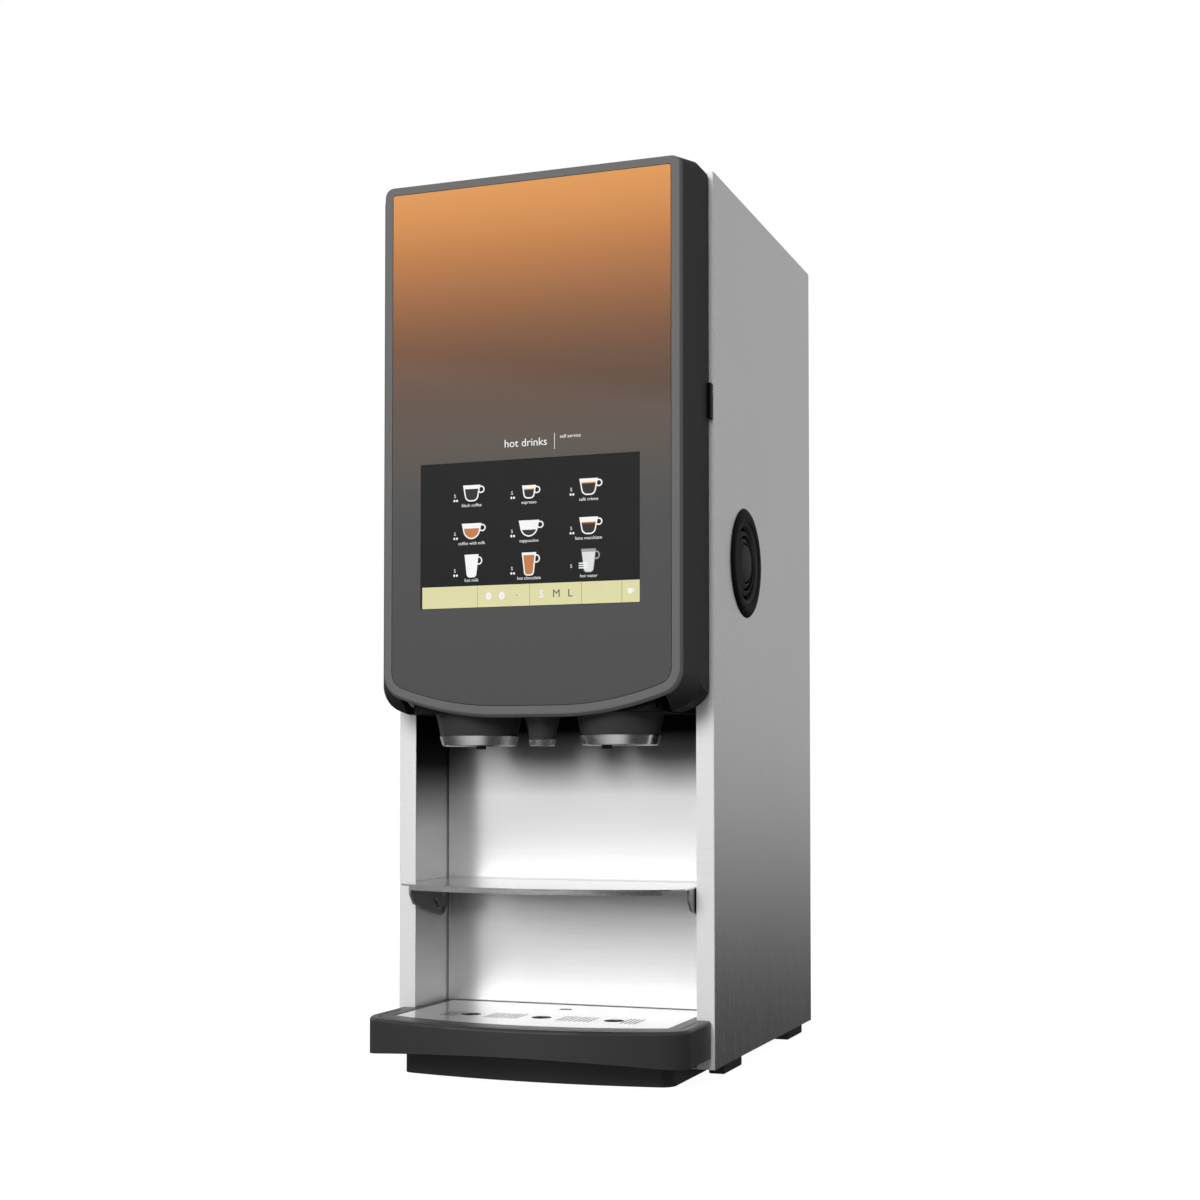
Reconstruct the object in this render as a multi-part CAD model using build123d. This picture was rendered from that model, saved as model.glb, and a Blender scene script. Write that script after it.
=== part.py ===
from build123d import *
import math
import os

# Hot coffee vending machine: a table-top instant drinks machine.
# Millimetres.  X to the right, Y to the back, Z up.  The model is drawn with Y = 0 on the
# front face of the cabinet, and export_node() moves it so that the origin is the middle of
# the machine's footprint, on the floor.

# ---------------------------------------------------------------- driving dimensions
# Cabinet
CABINET_WIDTH = 335.0
CABINET_HEIGHT = 880.5
CABINET_DEPTH = 395.0
SHEET = 1.2
FLANGE_WIDTH = 18.1
RETURN_LIP = 12.0
REAR_FLANGE = 16.0
EDGE_RADIUS = 1.6
REAR_PANEL_LAP = 7.5
REAR_PANEL_MARGIN = 4.0
COVER_FOLD = 22.0
PAN_FOLD = 16.0
FIT_GAP = 0.4

# Rear panel: screws and air slots
SCREW_MARGIN = 40.0
SCREWS_A_SIDE = 5
SCREW_HEAD_R = 3.6
SCREW_HEAD = 2.2
SCREW_SHANK_R = 1.6
SCREW_HOLE_R = 1.7
SCREW_REACH = 3.0
CROSS_LENGTH = 4.0
CROSS_WIDTH = 1.0
AIR_SLOT_LENGTH = 64.0
AIR_SLOT_WIDTH = 5.0
AIR_SLOT_PITCH = 14.0
AIR_SLOT_ROWS = 8
AIR_SLOT_COLUMN = 90.0
AIR_SLOTS_FROM_TOP = 281.8

# Feet and plinth
FOOT_HEIGHT = 11.0
FOOT_WIDTH = 16.0
FOOT_LENGTH = 62.0
FOOT_INSET = 3.5
FOOT_CHAMFER = 1.0
FRONT_FOOT_Y = 46.0
REAR_FOOT_MARGIN = 32.0
PLINTH_INSET = 27.5
PLINTH_FRONT = 61.5
PLINTH_SIDE_FRONT = 50.0
PLINTH_BACK = 64.0
PLINTH_CORNER = 14.0

# Niche for the cups
NICHE_DEPTH = 78.5
NICHE_TOP = 354.0
NICHE_FLOOR = 21.0

# Drip tray and grate
TRAY_INSET = 3.5
TRAY_REACH = 122.0
TRAY_BOW = 23.0
TRAY_CORNER_IN = 33.0
TRAY_CORNER_RADIUS = 32.0
TRAY_LIFT = 1.0
TRAY_HEIGHT = 36.0
TRAY_ARCH = 9.5
TRAY_WALL = 2.4
TRAY_GAP = 0.8
TRAY_FLANGE_GAP = 1.5
TRAY_NECK = 10.0
TRAY_EDGE_ROUND = 3.2
WELL_SETBACK = 8.0
RIM_GROOVE_INSET = 9.0
RIM_GROOVE = 1.2
RIM_GROOVE_END = 20.0
GRATE_SIDE_GAP = 7.9
GRATE_BACK_GAP = 3.5
GRATE_SETBACK = 29.0
GRATE_BOW = 28.0
GRATE_CORNER = 3.0
GRATE_THICK = 1.5
GRATE_SINK = 0.5
GRATE_LEDGE = 5.0
DRAIN_HOLE = 20.0
DRAIN_Y = -28.0
SLOT_LENGTH = 36.0
SLOT_WIDTH = 1.6
SLOT_PITCH = 4.5
SLOTS_IN_GROUP = 4
SLOT_GROUPS = (-2.5, -1.25, -0.75, 0.75, 1.25, 2.5)
FLOAT_Y = 38.0
FLOAT_BORE = 12.0
FLOAT_BOB = 12.0
FLOAT_STEM_R = 4.6
FLOAT_GAP = 0.8
FLOAT_LIFT = 0.4
FLOAT_GUIDE_TOP = 40.0
FLOAT_ROUND = 1.2
FLOAT_GUIDE_WALL = 1.6

# Cup shelf
SHELF_TOP = 185.5
SHELF_THICK = 1.5
SHELF_REACH = 80.0
SHELF_BOW = 11.5
SHELF_CORNER_IN = 63.9
SHELF_TIP_RADIUS = 22.0
SHELF_SIDE_GAP = 1.0
SHELF_BACK_GAP = 8.5
SHELF_LIP = 5.5
LIP_ENDS_Y = 51.4
SHELF_PIVOT_FROM_BACK = 22.9
SHELF_PIVOT_DROP = 15.5
EAR_RADIUS = 22.5
EAR_BACK = 14.5
EAR_THICK = 2.4
EAR_SIDE_GAP = 0.4
EAR_FRONT = 18.5
EAR_NOSE_DROP = 11.5
EAR_CHIN_IN = 9.0
EAR_CHIN_DROP = 22.5
EAR_KNEE_DROP = 29.5
EAR_SLOT_RADIUS = 16.5
EAR_SLOT_START = 195.0
PIVOT_PIN = 6.0
PIVOT_PIN_END = 2.5
GUIDE_STUD = 4.0
GUIDE_STUD_END = 1.5
PIN_CLEARANCE = 0.06

# Drink outlets
OUTLET_SPACING = 150.0
OUTLET_Y = -9.0
OUTLET_TOP_R = 43.5
OUTLET_DROP = 21.0
OUTLET_RING_HEIGHT = 10.5
OUTLET_RING_R = 40.0
OUTLET_RING_TIP_R = 37.6
OUTLET_RING_BORE_R = 35.5
OUTLET_MOUTH_R = 34.0
OUTLET_ROOF = 8.0
OUTLET_FEED = 5.0
TIP_TUBE_R = 5.0
TIP_BORE_R = 3.2
TIP_DROP = 3.0
TIP_LEFT_DX = 2.0
TIP_RIGHT_DX = -14.0
WATER_Y = -26.0
WATER_TOP_R = 19.0
WATER_DROP = 25.0
WATER_RING_HEIGHT = 7.0
WATER_RING_R = 13.5
WATER_TIP_R = 6.0
WATER_BORE_R = 3.0
HEAD_SIDE_GAP = 19.4
HEAD_FRONT = 54.5
HEAD_HEIGHT = 38.0
HEAD_WALL = 3.0
HEAD_CORNER = 12.0
HOSE = 11.0
HOSE_WALL = 2.0

# Door
DOOR_GAP = 2.0
DOOR_DEPTH = 62.8
DOOR_SIDE_GAP = 1.5
DOOR_TOP_GAP = 2.0
DOOR_LIP_DROP = 1.7
DOOR_BEVEL = 12.7
DOOR_BEVEL_DEPTH = 24.0
DOOR_FLAT = 30.0
DOOR_SWEEP_RADIUS = 310.0
DOOR_CORNER = 25.0
DOOR_TOP_CORNER = 9.0
DOOR_SMALLEST_CORNER = 2.0
DOOR_REAR_CORNER_EXTRA = 3.0
DOOR_WALL = 3.0
DOOR_FRONT_WALL = 4.5
DOOR_FRONT_ROUND = 1.6
DOOR_REAR_DROP = 17.0
DOOR_CATCH_TAPER = 2.8
HEAD_NOTCH_SIDE = 8.0
HEAD_NOTCH_TOP = 2.0
FILM_INSET = 8.5
FILM_THICK = 2.0
FILM_GROOVE = 0.6
SCREEN_WIDTH = 227.8
SCREEN_HEIGHT = 142.6
SCREEN_BOTTOM = 456.4
SCREEN_THICK = 9.0
SCREEN_CAN_INSET = 4.0
SCREEN_FILM_GAP = 0.15
HINGE_INSET = 5.0
HINGE_PIN = 5.0
HINGE_LEAF = 3.0
HINGE_LEAF_GAP = 1.0
HINGE_LEAF_HALF = 3.5
HINGE_NECK_GAP = 0.6
HINGE_BOSS = 14.0
HINGE_SLOT_DEPTH = 12.0
HINGE_SLOT_REACH = 7.0
HINGE_FROM_TOP = 40.0
HINGE_FROM_BOTTOM = 60.0
INNER_COVER_BACK = 4.8
INNER_COVER_FOLD = 9.0
INNER_COVER_MARGIN = 8.0
CATCH_BOTTOM = 638.0
CATCH_HEIGHT = 34.0
CATCH_GAP = 0.2
CATCH_DEPTH = 9.2
CATCH_BACK = 0.6
CATCH_SIDE_GAP = 0.3
CATCH_BASE = 11.0
CATCH_BASE_DEPTH = 4.8
CATCH_CHAMFER = 0.8

# User board behind the screen
USER_BOARD_WIDTH = 160.0
USER_BOARD_HEIGHT = 100.0
USER_BOARD_FROM_SCREEN = 20.0
USER_BOARD_POST = 6.0
BOARD_THICK = 1.6
BOARD_POST_R = 3.0
BOARD_POST_INSET = 6.0
CHIP_SIZE = 18.0
CHIP_THICK = 2.4
CHIP_PLACES = (-50.0, 0.0, 45.0)
CHIP_FROM_BOTTOM = 40.0

# Ingredient canisters and mixers: heights are from the deck under the works
CANISTER_WIDTH = 94.0
CANISTER_SPACING_GAP = 6.0
CANISTER_FRONT = 46.0
CANISTER_BACK = 184.0
CANISTER_HEADROOM = 30.5
CANISTER_WALL = 2.0
CANISTER_RIM = 2.0
CANISTER_SLOPE = 62.0
SKID_MARGIN = 4.0
SKID_WALL = 3.0
LID_THICK = 3.0
LID_GRIP_HALF = 14.0
LID_GRIP_FRONT = 60.0
LID_GRIP_DEPTH = 12.0
LID_GRIP_HEIGHT = 5.0
CANISTER_SHELF_RISE = 243.5
AUGER_RISE = 32.0
TROUGH_RADIUS = 21.0
AUGER_RADIUS = 16.5
AUGER_SHAFT = 8.0
AUGER_PITCH = 18.0
AUGER_FLIGHT = 1.6
AUGER_TILT = 14.0
AUGER_START = 14.0
AUGER_END = 10.0
AUGER_NOSE = 8.0
AUGER_TAIL = 12.0
COUPLING_WALL = 5.0
COUPLING_GAP = 0.6
SPOUT_TUBE_R = 19.0
SPOUT_TUBE_WALL = 1.5
SPOUT_REACH = 12.0
ELBOW_DROP = 46.0
ELBOW_Y = 24.0
ELBOW_TUBE_R = 12.0
ELBOW_WALL = 2.0
ELBOW_NOSE = 1.5
WALL_Y = 190.0
WALL_TOP_GAP = 24.0
SHAFT_HOLE_GAP = 3.0
BRACKET_Y = 95.0
BRACKET_HALF_EXTRA = 30.0
BRACKET_FOLD = 16.0
BRACKET_BELOW_MIXER = 60.0
MIXER_DROP = 92.0
MIXER_RADIUS = 22.0
BOWL_DROP = 23.0
BOWL_RADIUS = 24.0
BOWL_WALL = 2.0
BOWL_NECK_R = 9.0
BOWL_NECK_RISE = 12.0
BOWL_NECK_SINK = 5.0
BOWL_RIM = 16.0
BOWL_FRONT = 16.0
SPIGOT = 14.0
SPIGOT_WALL = 1.8
WHIP_SHAFT = 6.0
WHIP_SETBACK = 18.0
WHIP_DISC = 2.5
WHIP_GAP = 5.0
WHIP_BLADE = 8.0
WHIP_BLADE_THICK = 1.8
WHIP_TAIL = 14.0
GEARBOX_HALF = 25.0
GEARBOX_DEPTH = 22.0
GEARBOX_BELOW = 18.0
GEARBOX_ABOVE = 32.0
DRIVE_MOTOR_R = 14.0
DRIVE_MOTOR_LENGTH = 32.0
DRIVE_MOTOR_RISE = 12.0
DRIVE_BORE_DEPTH = 14.0
WHIP_MOTOR_R = 17.0
WHIP_MOTOR_LENGTH = 46.0
WHIP_MOTOR_BOSS_R = 6.0
WHIP_MOTOR_BOSS = 6.0
WHIP_BORE_DEPTH = 16.0

# Drink hoses
HOSE_DROP = 45.0
HOSE_STRAIGHT = 20.0
HOSE_BEND = 25.0
WATER_HOSE_BEND = 20.0
MIDDLE_HOSE_DROP = 30.0
MIDDLE_HOSE_STRAIGHT = 16.0
MIDDLE_HOSE_BEND = 10.0
MIDDLE_HOSE_GAP = 1.0

# Steam vent and fan
VENT_Y = 115.5
VENT_Z = 510.5
VENT_RADIUS = 56.0
VENT_CREST = 3.2
VENT_BORE = 38.0
VENT_SPIGOT = 5.0
VENT_HOLE_GAP = 1.0
LOUVRE_R = (33.0, 25.6)
LOUVRE_WALL = 2.0
LOUVRE_LEAN = 3.4
LOUVRE_BACK = 4.5
VENT_HUB_R = 19.5
VENT_ARM = 3.0
VENT_ARM_THICK = 1.5
FAN_SIZE = 90.0
FAN_DEPTH = 25.0
FAN_CORNER = 5.0
FAN_BLADES = 7
FAN_WALL = 3.0
FAN_SEAT_R = 15.0
FAN_STRUT = 4.0
FAN_STUD_R = 2.5
FAN_STUD_LENGTH = 9.0
FAN_HUB_R = 16.0
FAN_HUB_BACK = 4.0
FAN_HUB_FRONT = 17.0
FAN_HUB_BORE_END = 13.0
FAN_BLADE_CHORD = 15.0
FAN_BLADE_THICK = 1.6
FAN_BLADE_PITCH = 40.0
FAN_TIP_GAP = 4.0
FAN_ROOT = 2.0

# Water side
DECK_RISE = 2.5
BOILER_RADIUS = 72.0
BOILER_HEIGHT = 190.0
BOILER_SIDE_GAP = 19.3
BOILER_FROM_REAR = 105.0
BOILER_STAND = 8.0
BOILER_ROUND = 8.0
BOILER_LID = 5.0
BOILER_LID_LAP = 6.0
BOILER_FOOT_R = 7.0
BOILER_FOOT_INSET = 16.0
TERMINAL_R = 5.0
TERMINAL_HEIGHT = 14.0
TERMINAL_DX = 16.0
TERMINAL_DY = 20.0
VALVE_SPACING = 34.0
VALVE_DY = 28.0
VALVE_BODY = 22.0
VALVE_BODY_HEIGHT = 18.0
VALVE_COIL_R = 12.0
VALVE_COIL_HEIGHT = 26.0
INLET_VALVE_FROM_REAR = 50.0
INLET_VALVE_DEPTH = 26.0
INLET_VALVE_HALF = 15.0
INLET_THREAD_R = 12.5
INLET_THREAD_OUT = 2.0
INLET_BORE_R = 8.0
INLET_BORE_START = 8.0
INLET_HOLE_GAP = 1.5
INLET_BRACKET_HALF = 20.0

# Electrics
CONTROL_BOARD_HALF = 90.0
CONTROL_BOARD_HEIGHT = 120.0
CONTROL_BOARD_POST = 8.0
BOARD_PARTS = ((-70, 20, 34, 18), (-20, 60, 24, 12), (30, 24, 40, 20), (20, 84, 16, 8))
SUPPLY_LEFT = 30.0
SUPPLY_WIDTH = 110.0
SUPPLY_BEHIND_WALL = 40.0
SUPPLY_DEPTH = 120.0
SUPPLY_HEIGHT = 46.0
SUPPLY_SLOTS = 9
SUPPLY_SLOT = 4.0
SUPPLY_SLOT_PITCH = 9.0
SUPPLY_SLOT_MARGIN = 14.0
SUPPLY_SLOT_END = 20.0
SUPPLY_SLOT_DEPTH = 2.0
INLET_X = 100.0
INLET_Z = 62.0
MODULE_HALF_WIDTH = 24.0
MODULE_HALF_HEIGHT = 32.0
MODULE_DEPTH = 24.0
MODULE_RIM = 3.0
MODULE_RIM_THICK = 2.0
SOCKET_HALF_WIDTH = 13.0
SOCKET_LOW = 27.0
SOCKET_HIGH = 8.0
SOCKET_DEPTH = 16.0
SOCKET_PINS = ((-7, -20), (7, -20), (0, -14))
SOCKET_PIN_HALF = (1.0, 2.0)
SOCKET_PIN_SETBACK = 3.0
ROCKER_WIDTH = 14.0
ROCKER_HEIGHT = 21.0
ROCKER_RISE = 14.0
ROCKER_SIDE_GAP = 0.6
ROCKER_END_GAP = 0.9
ROCKER_WELL = 12.0
ROCKER_AXLE_R = 1.5
ROCKER_AXLE_DEPTH = 3.0
ROCKER_BACK = 6.0
ROCKER_PROUD = 3.0
ROCKER_RELIEF = 1.5
ROCKER_KEEL = 3.5

# ---------------------------------------------------------------- places worked out from them
HALF = CABINET_WIDTH / 2
NICHE_HALF = HALF - FLANGE_WIDTH
PLINTH_HALF = HALF - PLINTH_INSET
INNER_HALF = HALF - SHEET
FLOOR_Z = FOOT_HEIGHT + SHEET
REAR_FACE = CABINET_DEPTH + SHEET
Y_SHIFT = -(REAR_FACE - TRAY_REACH) / 2

DOOR_BACK = -DOOR_GAP
DOOR_FACE = -(DOOR_GAP + DOOR_DEPTH)
DOOR_HALF = HALF - DOOR_SIDE_GAP
DOOR_FACE_HALF = DOOR_HALF - DOOR_BEVEL
DOOR_TOP = CABINET_HEIGHT - DOOR_TOP_GAP
DOOR_BOTTOM = NICHE_TOP - DOOR_LIP_DROP
HINGE_X = -(DOOR_HALF - HINGE_INSET)
HINGE_Y = DOOR_BACK - HINGE_INSET
HINGE_TOP_Z = DOOR_TOP - HINGE_FROM_TOP
HINGE_BOTTOM_Z = DOOR_BOTTOM + HINGE_FROM_BOTTOM

TRAY_HALF = HALF - TRAY_INSET
TRAY_BOTTOM_Z = NICHE_FLOOR + TRAY_LIFT
TRAY_RIM_Z = TRAY_BOTTOM_Z + TRAY_HEIGHT
TRAY_INSIDE_Z = TRAY_BOTTOM_Z + TRAY_WALL
TRAY_BACK = NICHE_DEPTH - TRAY_GAP
GRATE_HALF = NICHE_HALF - GRATE_SIDE_GAP
GRATE_BACK = NICHE_DEPTH - GRATE_BACK_GAP
GRATE_REACH = TRAY_REACH - GRATE_SETBACK
GRATE_TOP = TRAY_RIM_Z - GRATE_SINK
FLOAT_BOTTOM = TRAY_INSIDE_Z + FLOAT_LIFT

SHELF_HALF = NICHE_HALF - SHELF_SIDE_GAP
SHELF_PIVOT_Y = NICHE_DEPTH - SHELF_PIVOT_FROM_BACK
SHELF_PIVOT_Z = SHELF_TOP - SHELF_PIVOT_DROP
EAR_OUTER = SHELF_HALF - EAR_SIDE_GAP

OUTLET_X = OUTLET_SPACING / 2
OUTLET_RING_TOP = NICHE_TOP - OUTLET_DROP
OUTLET_RING_BOTTOM = OUTLET_RING_TOP - OUTLET_RING_HEIGHT
WATER_RING_TOP = NICHE_TOP - WATER_DROP
WATER_RING_BOTTOM = WATER_RING_TOP - WATER_RING_HEIGHT
HEAD_HALF = NICHE_HALF - HEAD_SIDE_GAP
HOSE_BORE_R = HOSE / 2 - HOSE_WALL

DECK_Z = NICHE_TOP + DECK_RISE
DECK_TOP = DECK_Z + SHEET
SHELF_DECK_Z = DECK_Z + CANISTER_SHELF_RISE
AUGER_Z = SHELF_DECK_Z + AUGER_RISE
MIXER_Z = SHELF_DECK_Z - MIXER_DROP
BOWL_TOP_Z = SHELF_DECK_Z - BOWL_DROP
SPIGOT_Z = MIXER_Z - MIXER_RADIUS - SPIGOT
CANISTER_TOP = CABINET_HEIGHT - CANISTER_HEADROOM
CANISTER_PITCH = CANISTER_WIDTH + CANISTER_SPACING_GAP
LANES = {"left": -CANISTER_PITCH, "middle": 0.0, "right": CANISTER_PITCH}
WALL_BACK = WALL_Y + SHEET
BRACKET_BACK = BRACKET_Y + SHEET
WHIP_R = MIXER_RADIUS - WHIP_GAP

FRAME_X = INNER_HALF - FAN_DEPTH
BOILER_X = -(INNER_HALF - BOILER_SIDE_GAP - BOILER_RADIUS)
BOILER_Y = CABINET_DEPTH - BOILER_FROM_REAR
BOILER_Z = DECK_TOP + BOILER_STAND
BOILER_TOP = BOILER_Z + BOILER_HEIGHT + BOILER_LID
ROCKER_Z = INLET_Z + ROCKER_RISE
SHAFT_HOLE_R = AUGER_SHAFT / 2 + SHAFT_HOLE_GAP
WHIP_HOLE_R = WHIP_SHAFT / 2 + SHAFT_HOLE_GAP


# ---------------------------------------------------------------- helpers
def block(x0, x1, y0, y1, z0, z1):
    """A box between two corners."""
    centre = Pos((x0 + x1) / 2, (y0 + y1) / 2, (z0 + z1) / 2)
    return centre * Box(x1 - x0, y1 - y0, z1 - z0)


def rod_x(x0, x1, y, z, r):
    return Pos((x0 + x1) / 2, y, z) * Rot(0, 90, 0) * Cylinder(r, x1 - x0)


def rod_y(y0, y1, x, z, r):
    return Pos(x, (y0 + y1) / 2, z) * Rot(90, 0, 0) * Cylinder(r, y1 - y0)


def rod_z(z0, z1, x, y, r):
    return Pos(x, y, (z0 + z1) / 2) * Cylinder(r, z1 - z0)


def slab_y(outline, y0, y1):
    """An outline drawn on X and Z, as thick as y0 to y1."""
    return extrude(Plane.XZ.offset(-y1) * outline, y1 - y0)


def slab_z(outline, z0, z1):
    """An outline drawn on X and Y, as thick as z0 to z1."""
    return extrude(Pos(0, 0, z0) * outline, z1 - z0)


def slab_x(outline, x0, x1):
    """An outline drawn on Y and Z, as thick as x0 to x1."""
    return extrude(Plane.YZ.offset(x0) * outline, x1 - x0)


def turned(points, x, y):
    """A turned piece about a vertical axis, from its (radius, height) outline."""
    outline = make_face(Polyline(*[(r, 0, z) for r, z in points], close=True))
    return Pos(x, y, 0) * revolve(outline, Axis.Z)


def mirrored(shape):
    return mirror(shape, about=Plane.YZ)


def export_node(name, shape):
    """Write one sub-part's STEP file, moved to the machine's own origin."""
    shape = Pos(0, Y_SHIFT, 0) * shape
    solids = shape.solids()
    out = solids[0] if len(solids) == 1 else Compound(children=list(solids))
    out.label = name
    export_step(out, f"parts/{name}.step")


def bow(x, middle_y, side_x, side_y):
    """The Y, at x, of an arc that passes middle_y at x = 0 and side_y at side_x."""
    rise = abs(side_y - middle_y)
    radius = (side_x**2 + rise**2) / (2 * rise)
    return middle_y + radius - math.sqrt(radius**2 - x**2)


def bowed_outline(half, back, front_side_x, front_side_y, front_middle, corner):
    """A plate seen from above: straight back and sides, a front bowed to -Y, round corners."""
    y_end = bow(half, front_middle, front_side_x, front_side_y)
    with BuildSketch() as sketch:
        with BuildLine():
            Polyline((half, y_end), (half, back), (-half, back), (-half, y_end))
            ThreePointArc((-half, y_end), (0, front_middle), (half, y_end))
        make_face()
        front = sketch.vertices().sort_by(Axis.Y)[0:2]
        fillet(front, corner)
    return sketch.sketch


# ---------------------------------------------------------------- cabinet
def side_panel():
    """The right-hand panel: one folded sheet with a front flange, its lip and a rear flange."""
    z0, z1 = FOOT_HEIGHT, CABINET_HEIGHT
    wall = block(INNER_HALF, HALF, 0, CABINET_DEPTH, z0, z1)
    flange = block(NICHE_HALF, HALF, 0, SHEET, z0, z1)
    lip_x = NICHE_HALF + SHEET
    lip = block(lip_x, lip_x + SHEET, 0, RETURN_LIP, z0, z1 - SHEET)
    rear = block(HALF - REAR_FLANGE, HALF, CABINET_DEPTH - SHEET, CABINET_DEPTH, z0, z1)
    panel = wall + flange + lip + rear
    edges = panel.edges().filter_by(Axis.Z)
    corner = [e for e in edges if abs(e.center().X - HALF) < 0.01]
    panel = fillet(corner, min(EDGE_RADIUS, SHEET * 0.95))
    holes = [rod_y(CABINET_DEPTH - SHEET, CABINET_DEPTH, x, z, SCREW_HOLE_R)
             for x, z in rear_screws() if x > 0]
    return panel - holes


def side_panel_right():
    return side_panel() - rod_x(INNER_HALF, HALF, VENT_Y, VENT_Z, VENT_BORE + LOUVRE_WALL + VENT_HOLE_GAP)


def rear_screws():
    """The (x, z) places of the rear panel's screws, evenly down each side."""
    x = HALF - REAR_FLANGE / 2
    low = FOOT_HEIGHT + SCREW_MARGIN
    step = (CABINET_HEIGHT - SCREW_MARGIN - low) / (SCREWS_A_SIDE - 1)
    return [(side * x, low + step * i) for side in (-1, 1) for i in range(SCREWS_A_SIDE)]


def top_cover():
    """The lid sheet, folded down all round inside the side panels."""
    z0, z1 = CABINET_HEIGHT - COVER_FOLD, CABINET_HEIGHT
    x = INNER_HALF - FIT_GAP
    outer = block(-x, x, SHEET, CABINET_DEPTH - SHEET, z0, z1)
    x = NICHE_HALF - FIT_GAP
    front = block(-x, x, 0, SHEET, z0, z1)
    y0, y1 = 2 * SHEET, CABINET_DEPTH - 2 * SHEET
    x = INNER_HALF - FIT_GAP - SHEET
    inside = block(-x, x, y0, y1, z0, z1 - SHEET)
    lip_x = NICHE_HALF + SHEET - FIT_GAP
    lip_cut = block(lip_x, HALF, 0, RETURN_LIP + FIT_GAP, z0, z1 - SHEET / 2)
    return outer + front - inside - lip_cut - mirrored(lip_cut)


def rear_panel():
    """The back sheet: air slots, openings for the mains inlet and the water inlet, screw holes."""
    y0, y1 = CABINET_DEPTH, REAR_FACE
    half = HALF - REAR_PANEL_LAP
    panel = block(-half, half, y0, y1, FOOT_HEIGHT + REAR_PANEL_MARGIN,
                  CABINET_HEIGHT - REAR_PANEL_MARGIN)
    slots = []
    for x in (-AIR_SLOT_COLUMN, 0, AIR_SLOT_COLUMN):
        for row in range(AIR_SLOT_ROWS):
            z = CABINET_HEIGHT - AIR_SLOTS_FROM_TOP + row * AIR_SLOT_PITCH
            slots.append(block(x - AIR_SLOT_LENGTH / 2, x + AIR_SLOT_LENGTH / 2, y0, y1,
                               z, z + AIR_SLOT_WIDTH))
    inlet = block(INLET_X - MODULE_HALF_WIDTH, INLET_X + MODULE_HALF_WIDTH, y0, y1,
                  INLET_Z - MODULE_HALF_HEIGHT, INLET_Z + MODULE_HALF_HEIGHT)
    water = rod_y(y0, y1, -INLET_X, INLET_Z, INLET_THREAD_R + INLET_HOLE_GAP)
    holes = [rod_y(y0, y1, x, z, SCREW_HOLE_R) for x, z in rear_screws()]
    return panel - slots - inlet - water - holes


def screws():
    """The rear panel's pan-head screws."""
    heads = []
    top = REAR_FACE + SCREW_HEAD
    for x, z in rear_screws():
        head = rod_y(REAR_FACE, top, x, z, SCREW_HEAD_R)
        cross = block(x - CROSS_LENGTH / 2, x + CROSS_LENGTH / 2, top - CROSS_WIDTH, top,
                      z - CROSS_WIDTH / 2, z + CROSS_WIDTH / 2)
        shank = rod_y(CABINET_DEPTH - SHEET - SCREW_REACH, REAR_FACE, x, z, SCREW_SHANK_R)
        heads.append(head - cross + shank)
    return Compound(children=heads)


def base_pan():
    """The cabinet's floor, with its edges folded up."""
    x = INNER_HALF - FIT_GAP
    y0, y1 = SHEET + FIT_GAP, CABINET_DEPTH - SHEET - FIT_GAP
    top = FOOT_HEIGHT + PAN_FOLD
    pan = block(-x, x, y0, y1, FOOT_HEIGHT, top)
    inside = block(-x + SHEET, x - SHEET, y0 + SHEET, y1 - SHEET, FLOOR_Z, top)
    lip_x = NICHE_HALF + SHEET - FIT_GAP
    lip_cut = block(lip_x, HALF, 0, RETURN_LIP + FIT_GAP, FOOT_HEIGHT, top)
    front = block(-NICHE_HALF, NICHE_HALF, 0, y0, FOOT_HEIGHT, FLOOR_Z)
    front_cut = block(-x, x, y0, NICHE_DEPTH, FLOOR_Z, top)
    return pan - inside - lip_cut - mirrored(lip_cut) + front - front_cut


def rubber_feet():
    feet = []
    for side in (-1, 1):
        for y in (FRONT_FOOT_Y, CABINET_DEPTH - REAR_FOOT_MARGIN - FOOT_LENGTH):
            x = side * (HALF - FOOT_INSET - FOOT_WIDTH / 2)
            foot = block(x - FOOT_WIDTH / 2, x + FOOT_WIDTH / 2, y, y + FOOT_LENGTH, 0, FOOT_HEIGHT)
            feet.append(chamfer(foot.edges().group_by(Axis.Z)[0], FOOT_CHAMFER))
    return Compound(children=feet)


def plinth():
    """The moulded block under the tray, which runs back under the cabinet's floor."""
    outline = bowed_outline(PLINTH_HALF, PLINTH_BACK, PLINTH_HALF - PLINTH_CORNER,
                            -PLINTH_SIDE_FRONT, -PLINTH_FRONT, PLINTH_CORNER)
    body = slab_z(outline, 0, TRAY_BOTTOM_Z - TRAY_GAP)
    under_cabinet = block(-HALF, HALF, -1, PLINTH_BACK + 1, FOOT_HEIGHT, TRAY_BOTTOM_Z)
    return body - under_cabinet


def niche_liner():
    """The bright niche: back, sides and the raised floor that carries the tray."""
    x0, x1 = NICHE_HALF, NICHE_HALF + SHEET
    back = block(-x1, x1, NICHE_DEPTH, NICHE_DEPTH + SHEET, FLOOR_Z, NICHE_TOP)
    side = block(x0, x1, SHEET, NICHE_DEPTH + SHEET, FLOOR_Z, NICHE_TOP)
    floor = block(-x1, x1, SHEET, NICHE_DEPTH, NICHE_FLOOR - SHEET, NICHE_FLOOR)
    return back + side + mirrored(side) + floor


# ---------------------------------------------------------------- tray and grate
def tray_outline(inset):
    """The tray in front of the cabinet, drawn in by an inset."""
    return bowed_outline(TRAY_HALF - inset, -TRAY_FLANGE_GAP - inset, TRAY_HALF - TRAY_CORNER_IN,
                         -TRAY_REACH + TRAY_BOW + inset, -TRAY_REACH + inset,
                         TRAY_CORNER_RADIUS - inset)


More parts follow.
